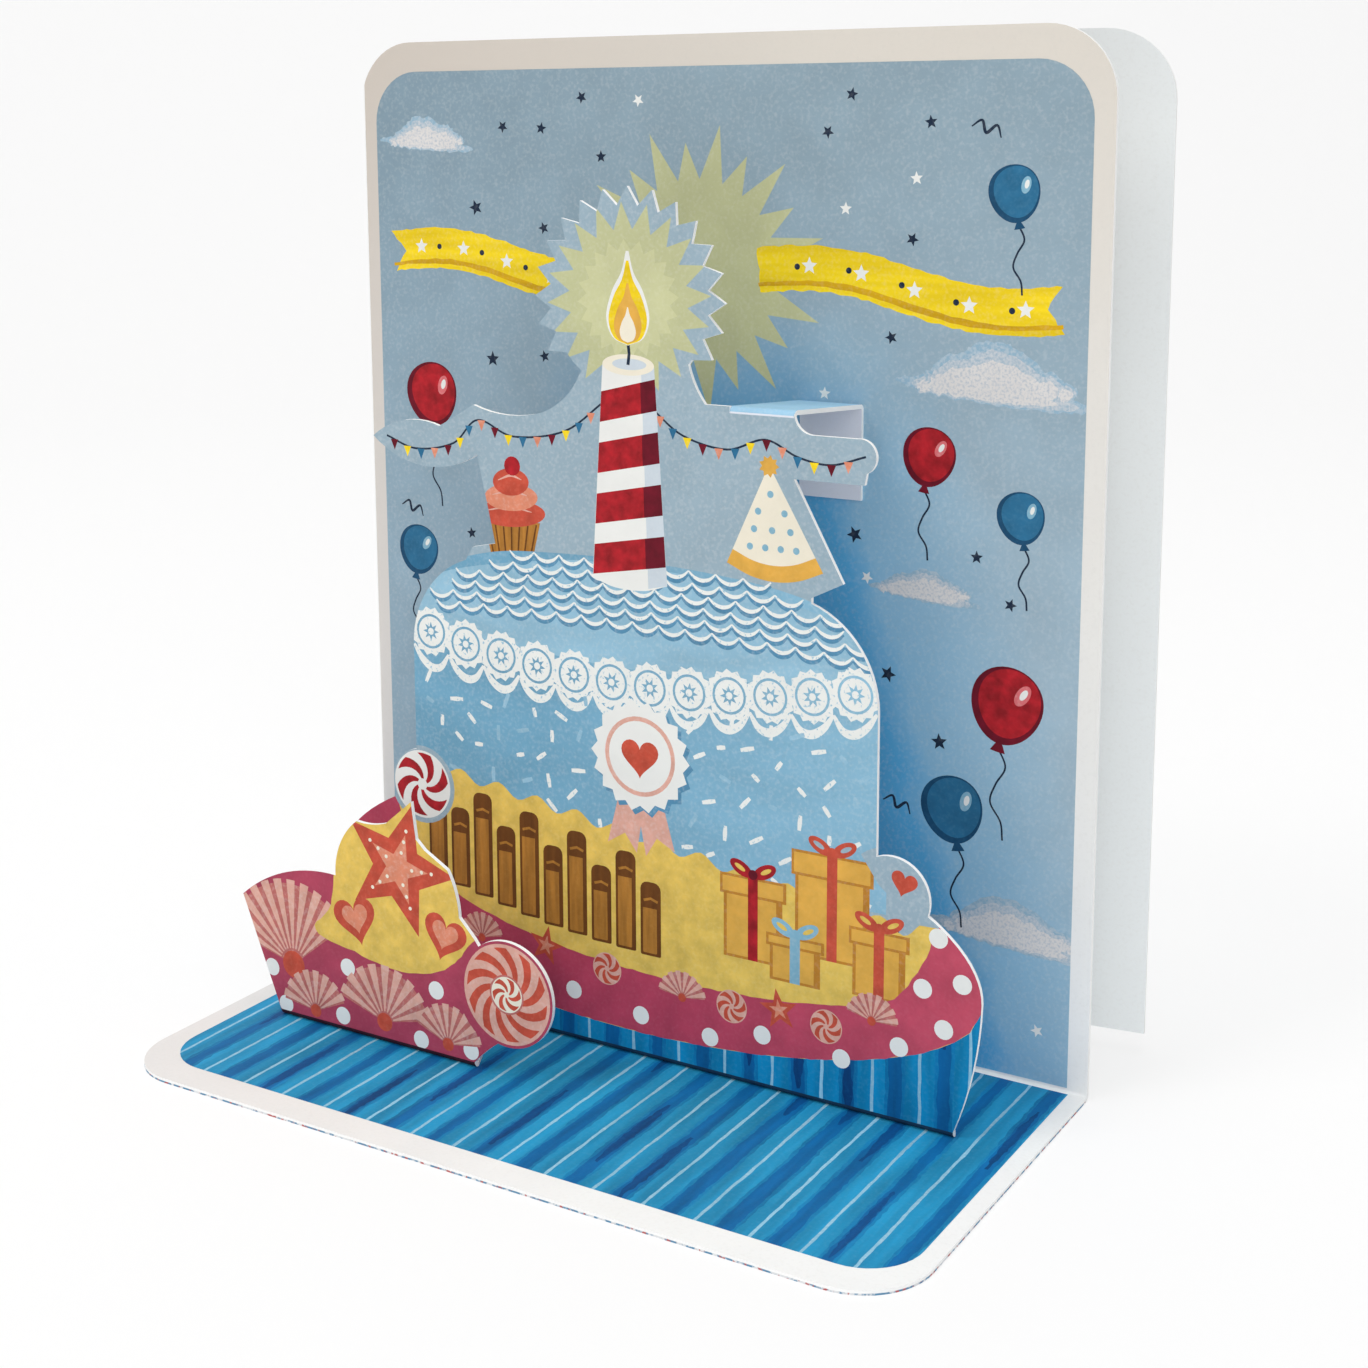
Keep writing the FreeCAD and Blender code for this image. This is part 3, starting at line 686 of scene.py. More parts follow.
def scatter(count, area, gap, seed, keep_out=()):
    """Places spread at random over a rectangle, none too near another or a place to keep clear."""
    rng = random.Random(seed)
    places = []
    while len(places) < count:
        at = rng.uniform(area[0], area[2]), rng.uniform(area[1], area[3])
        apart = all(math.dist(at, place) > gap for place in places)
        if apart and all(math.dist(at, (x, y)) > radius for x, y, radius in keep_out):
            places.append(at)
    return places


def paint_bunting(painting, path, colours, size, gap):
    """A string of little flags along a path."""
    path = smooth(path, 12)
    painting.append(("navy", stroke(path, 0.30)))
    lengths = np.concatenate([[0], np.cumsum(np.linalg.norm(np.diff(path, axis=0), axis=1))])
    for number, at in enumerate(np.arange(gap * 0.6, lengths[-1] - gap * 0.2, gap)):
        x = np.interp(at, lengths, path[:, 0])
        y = np.interp(at, lengths, path[:, 1])
        flag = np.array([(x - size / 2, y), (x + size / 2, y), (x, y - size * 1.15)])
        painting.append((colours[number % len(colours)], flag))


print("room for", len(scatter(10, (0, 0, 20, 20), 3, 1)), "places on a small field")

# %% [markdown]
# ## Paper fans and mint sweets
# Pleated fans and round mints fill the places along the rose board. A pleat is a light wedge over
# a dark ground. A mint's blades bend as they run out, because the sweet is cut from a twisted
# stick, so each blade's angle grows with the distance from the middle. A streamer is one stroke.

# %% Fans, sweets and streamers


def paint_fan(painting, x, y, radius, turn=90.0, spread_angle=150.0, pleats=9):
    """A pleated paper fan, light and dark by turns, with a small button."""
    half = spread_angle / 2
    painting.append(("blush_deep", np.vstack([[(x, y)], arc(x, y, radius, turn - half, turn + half, 30)])))
    step = spread_angle / pleats
    for pleat in range(pleats):
        a = turn - half + step * (pleat + 0.5)
        tip = arc(x, y, radius * 1.05, a - step * 0.30, a + step * 0.30, 5)
        root = arc(x, y, radius * 0.2, a + step * 0.2, a - step * 0.2, 2)
        painting.append(("blush", np.vstack([root, tip])))
    painting.append(("coral", disc(x, y, radius * 0.17, 18)))


def paint_swirl(painting, x, y, radius, turn=0.0, blades=8, first="blush", second="coral"):
    """A round mint sweet with curved blades of colour."""
    painting.append((first, disc(x, y, radius, 48)))
    for blade in range(blades):
        a0 = turn + 360 * blade / blades
        r = np.linspace(0.0, radius * 0.93, 10)
        lead = np.radians(a0 + 75 * r / radius)
        trail = np.radians(a0 + 75 * r / radius + 180 / blades)
        outer = arc(x, y, radius * 0.93, math.degrees(lead[-1]), math.degrees(trail[-1]), 6)
        curve_out = np.column_stack([x + r * np.cos(lead), y + r * np.sin(lead)])
        curve_in = np.column_stack([x + r * np.cos(trail), y + r * np.sin(trail)])[::-1]
        painting.append((second, np.vstack([curve_out, outer[1:-1], curve_in[:-1]])))
    painting.append((first, disc(x, y, radius * 0.17, 18)))


def paint_streamer(painting, x, y, size, turn):
    """A short curl of paper streamer."""
    curl = smooth([(-1.0, 0.30), (-0.5, -0.30), (0.0, 0.34), (0.5, -0.26), (1.0, 0.30)], 6) * size
    painting.append(("navy", stroke(turned(curl, turn) + (x, y), 0.46, 0.4)))


print("fields in a mint:", fields_in(paint_swirl, 0, 0, 3))

# %% [markdown]
# ## Dots and brushed stripes
# The base and the skirt have stripes like wrapping paper: a middle blue, a soft dark band and a
# thin pale line by turns. Straight, even stripes would look machine-made, so every band's width
# and edge wander a little, and a deeper patch lies on each, where the brush was full.

# %% Dots and stripes


def paint_dots(painting, places, radius):
    """White polka dots."""
    for x, y in places:
        painting.append(("white", disc(x, y, radius, 20)))


def paint_stripes(painting, left, right, bottom, top, period, kind, seed):
    """Brushed stripes: in each period a soft, dark one with a deeper patch, and a thin pale line."""
    rng = random.Random(seed)
    painting.append((f"{kind}_mid", box(left, bottom, right, top)))
    levels = np.linspace(bottom, top, 14)
    x = left + period * 0.25
    number = 0
    while x < right:
        wide = rng.uniform(1.5, 2.3)
        path = [(x + rng.uniform(-0.12, 0.12), v) for v in levels]
        painting.append((f"{kind}_half", rough(stroke(path, wide + 1.0), 0.14, 0.9, seed + number)))
        painting.append((f"{kind}_dark", rough(stroke(path, wide), 0.14, 0.9, seed + number + 100)))
        low = rng.uniform(bottom, top)
        patch = [(x, low + (top - bottom) * share) for share in np.linspace(0, 0.3, 6)]
        deep = rough(stroke(patch, wide * 0.8, 0.3), 0.16, 0.7, seed + number + 200)
        painting.append((f"{kind}_deep", deep))
        pale = [(x + period * 0.5 + rng.uniform(-0.08, 0.08), v) for v in levels]
        painting.append((f"{kind}_light", rough(stroke(pale, 0.46), 0.07, 1.2, seed + number + 300)))
        x += period * rng.uniform(0.95, 1.05)
        number += 1


print("fields in four stripes:", fields_in(paint_stripes, 0, 30, 0, 9, 7.5, "base", 1))

# %% [markdown]
# ## The sky and its sunburst
# The back panel is a summer sky inside a cream border that runs down both sides to the crease. A
# pale sunburst sits behind the toothed disc, so the disc's teeth and the painted rays answer each
# other. Its rays are long and short by turns, three points each around one middle.

# %% Paint the sky and its sunburst
BORDER = 3.0
TOP_BORDER = 4.6
PRINT_CORNER = 8.0
HALF_CARD = -card_low.x
BACK_FACE = tall_high.y
CREASE_TOP = 1.3
print_right = HALF_CARD - BORDER
back_print = round_box(-print_right, CREASE_TOP, print_right, card_high.z - TOP_BORDER,
                       (0, 0, PRINT_CORNER, PRINT_CORNER))
sky = [("sky", back_print)]
BURST_X, BURST_Y = -0.5, 115.6
BURST_RAYS, BURST_CORE, BURST_TURN = 22, 12.5, 14
LONG_RAY, SHORT_RAY, RAY_SHARE = 21.6, 18.8, 0.62
for ray in range(BURST_RAYS):
    reach = LONG_RAY if ray % 2 == 0 else SHORT_RAY
    a = math.radians(ray * 360 / BURST_RAYS + BURST_TURN)
    side = math.radians(360 / BURST_RAYS * RAY_SHARE)
    corners = [(BURST_CORE, a - side), (reach, a), (BURST_CORE, a + side)]
    tip = [(BURST_X + r * math.cos(t), BURST_Y + r * math.sin(t)) for r, t in corners]
    sky.append(("ray", np.array(tip)))
sky.append(("ray", disc(BURST_X, BURST_Y, BURST_CORE + 0.5, 44)))
print("rays behind the disc:", BURST_RAYS)

# %% [markdown]
# ## Two ribbons
# A yellow ribbon runs from the disc to each side. It is one stroke of a flat brush with a swallow
# tail at its outer end, a darker line where it turns under, and stars and dots by turns.

# %% Paint the ribbons


def paint_ribbon(painting, start, end, sag, width, notch):
    """A yellow ribbon with a swallow tail at its outer end and a row of spots along it."""
    t = np.linspace(0, 1, 18)
    path = np.column_stack([start[0] + (end[0] - start[0]) * t,
                            start[1] + (end[1] - start[1]) * t + sag * np.sin(2 * np.pi * t)])
    band = stroke(path, width)
    outer = (band[0] + band[-1]) / 2 + np.array([math.copysign(notch, end[0] - start[0]), 0])
    painting.append(("yellow", rough(np.vstack([band, [outer]]), 0.16, 0.8, int(abs(start[0])))))
    under = stroke(path + (0, -width * 0.33), width * 0.14, 0.6)
    painting.append(("yellow_dark", rough(under, 0.10, 1.0, 7)))
    for x, y in path[2:-1:3]:
        painting.append(("white", star(x, y + 0.3, width * 0.20, width * 0.09)))
    for x, y in path[3:-1:3]:
        painting.append(("navy", disc(x + 0.8, y + 0.2, width * 0.07, 14)))


paint_ribbon(sky, (-57.5, 117.0), (-10.0, 113.5), 1.5, 6.4, 2.4)
paint_ribbon(sky, (57.0, 112.0), (10.0, 116.0), -1.4, 6.6, 2.4)
print("fields with the ribbons:", len(sky))

# %% [markdown]
# ## Clouds and balloons in the sky
# Clouds and balloons fill the open sky to the right, where no layer hides them, and a few stand
# at the left edge. Clouds go in first, because the balloons float in front of them.

# %% Paint clouds and balloons
clouds = [(47.0, 100.0, 10.5), (37.0, 70.5, 6.2), (51.5, 21.5, 9.5), (-50.5, 134.0, 6.5)]
for number, (x, y, size) in enumerate(clouds):
    paint_cloud(sky, x, y, size, 11 + number)
balloons = [
    (49.5, 127.5, 3.6, "teal", 10), (37.5, 90.5, 3.9, "red", -8), (51.5, 83.0, 3.4, "teal", 8),
    (50.0, 56.0, 5.2, "red", -10), (42.0, 39.5, 4.6, "teal", 10), (-50.5, 94.0, 4.8, "red", 8),
    (-54.0, 68.0, 3.8, "teal", -8), (-48.5, 47.0, 4.0, "red", 6),
]
for x, y, size, colour, lean in balloons:
    paint_balloon(sky, x, y, size, colour, lean, tail=size * 2.6)
print(len(balloons), "balloons and", len(clouds), "clouds")

# %% [markdown]
# ## Tiny stars, and the finished print
# Tiny stars, white and dark blue, and a few curls of paper streamer are strewn over what is still
# open. The places of the clouds, the balloons with their strings, the sunburst and the ribbons
# are kept clear. Then the whole painting is cut and laid on the back panel.

# %% Strew the stars and print the back panel
keep_clear = [(x, y - drop * size, size * 1.8) for x, y, size, _, _ in balloons for drop in (0.0, 1.6)]
keep_clear += [(BURST_X, BURST_Y, 23), (47, 102, 12), (37, 71, 8), (50.5, 23, 11), (-50.5, 134, 9)]
keep_clear += [(x, 114.5, 6.5) for x in (-52, -44, -36, -28, 28, 36, 44, 52)]
for number, (x, y) in enumerate(scatter(76, (-57, 8, 57, 142), 6.4, 21, keep_clear)):
    outer = 1.0 if number % 5 else 1.3
    if number % 9 == 4:
        paint_streamer(sky, x, y, 2.3, 40 * number)
    else:
        name = "white" if number % 5 in (1, 3) else "navy"
        sky.append((name, star(x, y, outer, outer * 0.44, turn=90 + 17 * number)))
print("fields on the back panel:", len(sky))


def upright(face):
    """Places the points of an upright face that lies at some depth, raised towards the front."""
    return lambda point, lift: (point[0], face - lift, point[1])


print_sheet("back_panel_print", ring_edges(back_print), sky, upright(BACK_FACE), "sky")

# %% [markdown]
# ## The base panel
# The base has the brushed stripes, from front to back, inside a white border that is wide at the
# front. Its print runs up to the crease, where the back panel's print begins.

# %% Paint the base
FRONT_BORDER = 5.0
BASE_FACE = tall_low.z
STRIPE_PERIOD = 7.5
BASE_BORDER_LEFT = 3.5
BASE_BORDER_RIGHT = 2.6
crease_y = BACK_FACE - CREASE_TOP + BASE_FACE
base_print = round_box(-HALF_CARD + BASE_BORDER_LEFT, card_low.y + FRONT_BORDER,
                       HALF_CARD - BASE_BORDER_RIGHT, crease_y, (PRINT_CORNER, PRINT_CORNER, 0, 0))
stripes = []
paint_stripes(stripes, -HALF_CARD, HALF_CARD, card_low.y, crease_y + 1, STRIPE_PERIOD, "base", 31)
print("fields on the base:", len(stripes))


def on_base(point, lift):
    """A point of the base's upper face, raised."""
    return (point[0], point[1], BASE_FACE + lift)


print_sheet("base_print", ring_edges(base_print), stripes, on_base, "base_mid")

# %% [markdown]
# ## The top of the tall layer
# The tall layer is painted from its back to its front, like everything here, and from its own
# middle and foot. Its top is a disc with teeth, which a sunburst fills, so the die's teeth
# become rays. Two strings of bunting run out from the candle to the tips of the arms.

# %% Paint the disc and the bunting
DISC_Y = 112.2
FLAG, FLAG_GAP = 1.4, 2.6
FLAG_COLOURS = ("red_dark", "yellow", "teal", "coral_light")
tall = [("layer_sky", box(-60, 0, 60, 130))]
for name, outer, inner in (("ray", 13.6, 9.8), ("ray_light", 8.4, 6.9)):
    tall.append((name, star(0, DISC_Y, outer, inner, 20, 90 + 4)))
left_string = [(-43.6, 89.9), (-38, 88.3), (-31, 89.6), (-26.4, 93.4), (-20, 91.4), (-11, 92.8), (-4, 97.6)]
right_string = [(4, 97.0), (9, 93.6), (16, 92.2), (22, 94.0), (27, 92.0), (32, 91.3), (37.2, 92.8)]
paint_bunting(tall, left_string, FLAG_COLOURS, FLAG, FLAG_GAP)
paint_bunting(tall, right_string, FLAG_COLOURS[::-1], FLAG, FLAG_GAP)
print("fields on the disc and the arms:", len(tall))

# %% [markdown]
# ## A cupcake and a party hat
# The die leaves room on both sides of the candle. A cupcake stands at the left and a party hat at
# the right, each about as high as it is wide. The hat is a cone seen from the side: its foot bends
# down, and its dots stand in rows that get shorter to the tip.

# %% Paint the cupcake and the hat


def paint_hat(painting, left, right, bottom, tip, ground, trim, dot):
    """A cone hat with a curved foot, a trim along it, stripes of dots and a ball on its tip."""
    middle, quarter = (left + right) / 2, (right - left) * 0.25
    foot = smooth([(left, bottom), (middle - quarter, bottom - 1.5), (middle, bottom - 2.0),
                   (middle + quarter, bottom - 1.5), (right, bottom)], 5)
    painting.append((trim, np.vstack([foot, [tip]])))
    painting.append((ground, np.vstack([foot * 0.86 + np.array(tip) * 0.14, [tip]])))
    for row, share in enumerate((0.26, 0.42, 0.58, 0.74)):
        half = (right - left) / 2 * (1 - share)
        count = 4 - row
        for k in range(count):
            across = 0 if count == 1 else (k / (count - 1) - 0.5) * 1.3
            x = middle + (tip[0] - middle) * share + across * half
            y = bottom - 1.4 * (1 - share) + (tip[1] - bottom) * share
            painting.append((dot, disc(x, y, 0.5, 14)))
    painting.append((trim, star(tip[0], tip[1] - 0.2, 1.6, 1.1, 9, 0)))


def paint_cupcake(painting, x, bottom, size):
    """A cupcake: a pleated paper case, three swirls of icing and a cherry."""
    case = np.array([(-0.62, 0), (0.62, 0), (0.86, 0.95), (-0.86, 0.95)]) * size + (x, bottom)
    painting.append(("wafer", case))
    for pleat in range(-3, 4):
        foot, top = x + pleat * size * 0.18, x + pleat * size * 0.25
        painting.append(("wafer_dark", stroke([(foot, bottom), (top, bottom + 0.9 * size)], 0.28)))
    for wide, level, name in ((1.02, 1.12, "coral"), (0.80, 1.52, "coral_light"), (0.54, 1.90, "coral")):
        painting.append((name, ellipse(x, bottom + level * size, wide * size, 0.34 * size, 4, 30)))
        gloss = smooth([(x - wide * size * 0.7, bottom + (level + 0.02) * size),
                        (x, bottom + (level + 0.16) * size),
                        (x + wide * size * 0.6, bottom + (level + 0.08) * size)], 5)
        painting.append(("blush", stroke(gloss, 0.36, 0.3)))
    painting.append(("red", disc(x + 0.05 * size, bottom + 2.30 * size, 0.24 * size, 18)))


paint_cupcake(tall, -20.6, 73.2, 6.0)
paint_hat(tall, 16.0, 31.0, 76.4, (22.6, 90.6), "cream", "gold", "teal_light")
print("fields with the cupcake and the hat:", len(tall))

# %% [markdown]
# ## The cake and its icing
# The cake is one blue field with a paler top, seen slightly from above, so its upper edge bows up
# and every row of icing bows with it. The icing is a row of hanging loops, repeated down the top,
# each over a deeper blue line that stands for its shadow.

# %% Paint the cake and its icing
CAKE_HALF = 41.0
tall.append(("cake_blue", np.vstack([
    [(-CAKE_HALF, 30), (CAKE_HALF, 30), (CAKE_HALF, 62)],
    smooth([(CAKE_HALF, 64), (32, 71.0), (24, 73.4), (12, 74.6), (0, 75.0), (-12, 74.8), (-24, 73.8),
            (-34, 70.4), (-CAKE_HALF, 63)]),
])))
tall.append(("cake_pale", np.vstack([
    smooth([(-CAKE_HALF, 62), (-30, 60.5), (0, 59.0), (30, 60.5), (CAKE_HALF, 62)]),
    smooth([(CAKE_HALF, 64), (32, 70.2), (12, 73.6), (0, 74.0), (-12, 73.8), (-34, 69.6),
            (-CAKE_HALF, 63)]),
])))


def paint_swags(painting, y, sag, left, right, width, drop, colour, line, shift=0.0):
    """A row of hanging loops across a curved level."""
    x = left + shift
    while x < right:
        start, end = (y - sag * (1 - (v / CAKE_HALF) ** 2) for v in (x, x + width))
        path = [(x, start), (x + width * 0.22, start - drop * 0.72),
                (x + width / 2, (start + end) / 2 - drop),
                (x + width * 0.78, end - drop * 0.72), (x + width, end)]
        painting.append((colour, stroke(smooth(path, 5), line, 0.35)))
        x += width


icing_rows = [(73.6, 21), (71.9, 27), (70.2, 31), (68.5, 34), (66.8, 36), (65.1, 37)]
for row, (level, reach) in enumerate(icing_rows):
    for name, lower, line in (("cake_deep", 0.55, 0.7), ("icing", 0.0, 0.58)):
        paint_swags(tall, level - lower, -1.0, -reach, reach, 4.4, 1.15, name, line, 2.2 * (row % 2))
print("rows of icing:", len(icing_rows))

# %% [markdown]
# ## Piped rosettes and sprinkles
# Where the top meets the side runs a row of piped rosettes with a swag of icing under it: each is
# a frilled disc, a ring and a small star, as the nozzle leaves it. The side below is strewn with
# sugar sprinkles, which point every way but keep clear of the paper rosette in the middle.

# %% Paint the rosettes and sprinkles
ROSETTES, ROSETTE_STEP, ROSETTE_SAG = 12, 6.55, 3.6
for number in range(ROSETTES):
    x = (number - (ROSETTES - 1) / 2) * ROSETTE_STEP
    y = 60.2 - ROSETTE_SAG * (1 - (x / 36) ** 2)
    tall += [("icing", star(x, y, 3.9, 3.4, 14, 12 * number)), ("cake_blue", disc(x, y, 2.70, 26)),
             ("icing", disc(x, y, 2.32, 24)), ("cake_blue", star(x, y, 1.50, 0.75, 8, 12 * number)),
             ("icing", disc(x, y, 0.55, 14))]
row_end = ROSETTES * ROSETTE_STEP / 2
paint_swags(tall, 58.2, ROSETTE_SAG, -row_end, row_end, ROSETTE_STEP, 2.8, "icing", 1.3)
sprinkle_rng = random.Random(77)
for number, (x, y) in enumerate(scatter(84, (-38, 29, 38, 53.5), 3.7, 78, [(1.5, 44.0, 10.5)])):
    lean = sprinkle_rng.uniform(0, math.pi)
    reach = np.array([math.cos(lean), math.sin(lean)]) * sprinkle_rng.uniform(0.7, 1.25)
    name = ("icing", "icing", "cake_pale")[number % 3]
    tall.append((name, stroke([(x, y) - reach, (x, y), (x, y) + reach], 0.72, 0.75)))
print("fields with the cake:", len(tall))

# %% [markdown]
# ## The candle
# A tall candle with red stripes stands on the cake. It narrows a little to its top, so every
# stripe is fitted between its sides at its own height. A stripe slants, because it winds round
# the candle, and each has a darker part on the shaded side.

# %% Paint the candle
CANDLE_TOP = 103.0
CANDLE_FOOT = 71.0


def candle_half(level):
    """Half the candle's width, which narrows a little to the top."""
    return 6.3 - 2.0 * (level - CANDLE_FOOT) / (CANDLE_TOP - CANDLE_FOOT)


foot_half, top_half = candle_half(CANDLE_FOOT), candle_half(CANDLE_TOP)
candle_foot = smooth([(-foot_half, CANDLE_FOOT + 0.9), (-2.5, CANDLE_FOOT - 0.2),
                      (2.5, CANDLE_FOOT - 0.2), (foot_half, CANDLE_FOOT + 0.9)], 5)
tall.append(("white", np.vstack([candle_foot, [(top_half, CANDLE_TOP), (-top_half, CANDLE_TOP)]])))
tall.append(("candle_shade", np.array([(foot_half * 0.5, CANDLE_FOOT + 0.2), (foot_half, CANDLE_FOOT + 0.9),
                                       (top_half, CANDLE_TOP), (top_half * 0.5, CANDLE_TOP)])))
for level in np.arange(CANDLE_FOOT + 1.4, CANDLE_TOP - 7.0, 7.4):
    for name, share in (("red", -1.0), ("red_dark", 0.45)):
        corners = []
        for side, lift in ((share, 0.0), (1.0, 0.0), (1.0, 4.4), (share, 4.4)):
            at = level + 1.1 * (side + 1) + lift
            corners.append((side * candle_half(at), at))
        tall.append((name, np.array(corners)))
tall += [("cream", ellipse(0, CANDLE_TOP, top_half, 1.5)),
         ("candle_shade", ellipse(0.2, CANDLE_TOP + 0.1, top_half * 0.66, 0.8)),
         ("navy", stroke([(0, CANDLE_TOP), (0.2, CANDLE_TOP + 1.6), (0, CANDLE_TOP + 3.4)], 0.5))]
print("the candle is", 2 * foot_half, "mm wide at its foot and", round(2 * top_half, 1), "at its top")

# %% [markdown]
# ## The flame
# A painted flame is one outline at four sizes about its own foot: a pale glow, yellow, gold and a
# cream heart. Half of the outline is drawn, and the other half is its mirror image.

# %% Paint the flame
FLAME_AT = (0, CANDLE_TOP + 3.4)


def flame(scale):
    """A flame's outline, about its own foot."""
    side = smooth([(0, -0.6), (2.3, 0.4), (3.2, 3.0), (2.3, 6.2), (0.9, 8.6), (0.2, 11.2)], 6)
    return np.vstack([side, (side * (-1, 1))[::-1]]) * scale


for name, scale in (("white", 1.12), ("yellow", 1.0), ("gold", 0.72), ("cream", 0.42)):
    tall.append((name, flame(scale) + FLAME_AT))
print("the flame is", round(float(np.ptp(flame(1.0)[:, 1])), 1), "mm high")

# %% [markdown]
# ## The skirt, the custard and the wafers
# Below the cake lies yellow custard with a wavy edge, and a striped skirt hangs under the round
# board. The board's front edge is half an ellipse, because it is seen from above, and both
# meet along it. A row of wafer sticks, dipped in chocolate at the top, stands in the custard.

# %% Paint the skirt, the custard and the wafers
BOARD_LEVEL, BOARD_DROP, BOARD_HALF = 20.5, 16.6, 55.9
board_low = [(x, BOARD_LEVEL - BOARD_DROP * math.sqrt(max(0.0, 1 - (x / BOARD_HALF) ** 2)))
             for x in np.linspace(-BOARD_HALF, BOARD_HALF, 50)]
paint_stripes(tall, -58, 58, -1, BOARD_LEVEL + 6, STRIPE_PERIOD, "skirt", 41)
cream_top = [(-42, 41.0)]
for k in range(12):
    x = -38 + k * 7.1
    cream_top += [(x, 40.2 - k * 0.95), (x + 3.5, 38.0 - k * 0.95)]
cream_top.append((46, 29.5))
tall.append(("custard", np.vstack([board_low, [(60, 30)], smooth(cream_top, 4)[::-1], [(-60, 38)]])))
sticks = [(-35.5, 21.0, 37.5), (-31.2, 20.4, 33.0), (-26.9, 19.6, 36.0), (-22.6, 18.8, 31.5),
          (-18.3, 18.0, 34.5), (-14.0, 17.4, 30.0), (-9.7, 17.0, 33.0), (-5.4, 16.6, 28.5),
          (-1.1, 16.4, 31.5), (3.2, 16.2, 27.5)]
for x, low, high in sticks:
    tall += [("wafer_dark", round_box(x - 1.75, low, x + 1.75, high, (0.3, 0.3, 1.2, 1.2), 4)),
             ("wafer", round_box(x - 1.35, low + 0.4, x + 1.05, high - 0.5, (0.2, 0.2, 1.0, 1.0), 4)),
             ("wafer_dark", round_box(x - 1.75, high - 4.0, x + 1.75, high, (0.4, 0.4, 1.2, 1.2), 4)),
             ("wafer", stroke([(x - 1.2, high - 2.9), (x, high - 2.5), (x + 1.2, high - 2.9)], 0.4))]
print("wafer sticks:", len(sticks))

# %% [markdown]
# ## Wrapped boxes
# A heap of gift boxes stands at the right end of the custard. Each is a dark box with a lit front,
# a lid that stands out over it, a ribbon and a bow. The loops of a bow are open, so what is
# behind them is painted into them: sky for the tall box, custard for the low ones.

# %% Paint the wrapped boxes
SKY_BEHIND = 36


def paint_gift(painting, left, bottom, width, height, ground, ribbon):
    """A wrapped box with a lid, a ribbon and a bow."""
    right, top, middle = left + width, bottom + height, left + width / 2
    lid = top - height * 0.22
    painting += [(f"{ground}_dark", box(left, bottom, right, top)),
                 (ground, box(left + 0.5, bottom + 0.4, right - 1.0, top - 0.3)),
                 (f"{ground}_dark", box(left - 0.6, lid, right + 0.6, top + 0.4)),
                 (ground, box(left - 0.2, lid + 0.4, right + 0.1, top)),
                 (ribbon, box(middle - 0.8, bottom, middle + 0.8, top + 0.4))]
    behind = "layer_sky" if top > SKY_BEHIND else "custard"
    for side in (-1, 1):
        painting.append((ribbon, ellipse(middle + side * 1.9, top + 1.5, 2.0, 1.0, side * 28, 20)))
        painting.append((behind, ellipse(middle + side * 2.1, top + 1.6, 0.95, 0.35, side * 28, 14)))
    knot = "red_dark" if ribbon == "red" else ribbon
    painting.append((knot, disc(middle, top + 0.8, 0.75, 14)))


gifts = [(27.0, 21.5, 11.5, 15.0, "coral"), (15.5, 19.0, 9.5, 12.0, "red"),
         (36.0, 17.5, 8.0, 9.5, "coral"), (23.0, 17.0, 8.0, 6.5, "teal_light")]
for left, bottom, width, height, ribbon in gifts:
    paint_gift(tall, left, bottom, width, height, "gold", ribbon)
print("wrapped boxes:", len(gifts))

# %% [markdown]
# ## The round board
# The board under the cake is rose with polka dots, and fans, stars and mints lie along it. Its
# upper edge follows the custard, ragged as if the colour had run a little, and its lower edge
# is the half ellipse that the skirt hangs from. A dot that crosses the edge is kept whole.

# %% Paint the round board
rose_top = smooth([(60, 34), (50, 31.0), (46.5, 24), (41, 17.4), (28, 14.4), (12, 13.2), (0, 13.4),
                   (-14, 14.6), (-28, 17.6), (-36, 21.5), (-42, 29), (-46, 37), (-60, 38)], 6)
rose = np.vstack([board_low, [(60, BOARD_LEVEL), (60, 34)], rose_top, [(-60, BOARD_LEVEL)]])
tall.append(("rose", rough(rose, 0.10, 1.0, 52)))
for x, level, turn_by in ((-27.5, 12.8, 96), (8.5, 10.9, 90), (39.0, 14.2, 84)):
    paint_fan(tall, x, level, 3.9, turn_by, 165, 8)
for x, level, turn_by in ((-15.5, 14.0, 80), (24.5, 12.6, 100)):
    tall.append(("coral", star(x, level, 3.2, 1.3, 5, turn_by)))
    tall.append(("coral_light", star(x, level, 1.6, 0.6, 5, turn_by)))
for x, level, turn_by in ((-4.5, 12.6, 10), (32.0, 11.8, 30), (16.8, 11.4, 50)):
    paint_swirl(tall, x, level, 2.5, turn_by, 6)
POLKA_DOT = 1.4
board_dots = [(-51, 24), (-45.5, 16.4), (-37, 11.6), (-20.8, 7.2), (-10.5, 8.0), (1.4, 6.6), (13.2, 5.9),
              (21.8, 8.2), (34.4, 7.6), (43.2, 11.4), (49.8, 15.4), (46.6, 20.6), (52.4, 22.4), (48.8, 28.2)]
paint_dots(tall, board_dots, POLKA_DOT)
print("polka dots on the board:", len(board_dots))

# %% [markdown]
# ## Motifs on the die's bumps
# The die cuts a small round bump at the left of the cake and a low one at the right. A lollipop
# fills the first and a heart the second, on sky, so that the bumps have a reason. A paper rosette
# with two ribbon tails is pinned to the middle of the cake's side, over a thin shadow.

# %% Paint the lollipop, the heart and the paper rosette
tall.append(("layer_sky", disc(-38.4, 35.6, 6.2, 30)))
paint_swirl(tall, -38.4, 35.6, 5.4, 0, 6, "white", "red")
tall.append(("layer_sky", np.vstack([arc(41.6, 32.6, 7.0, -5, 130, 16), [(39.9, 34.0), (43.0, 31.6)]])))


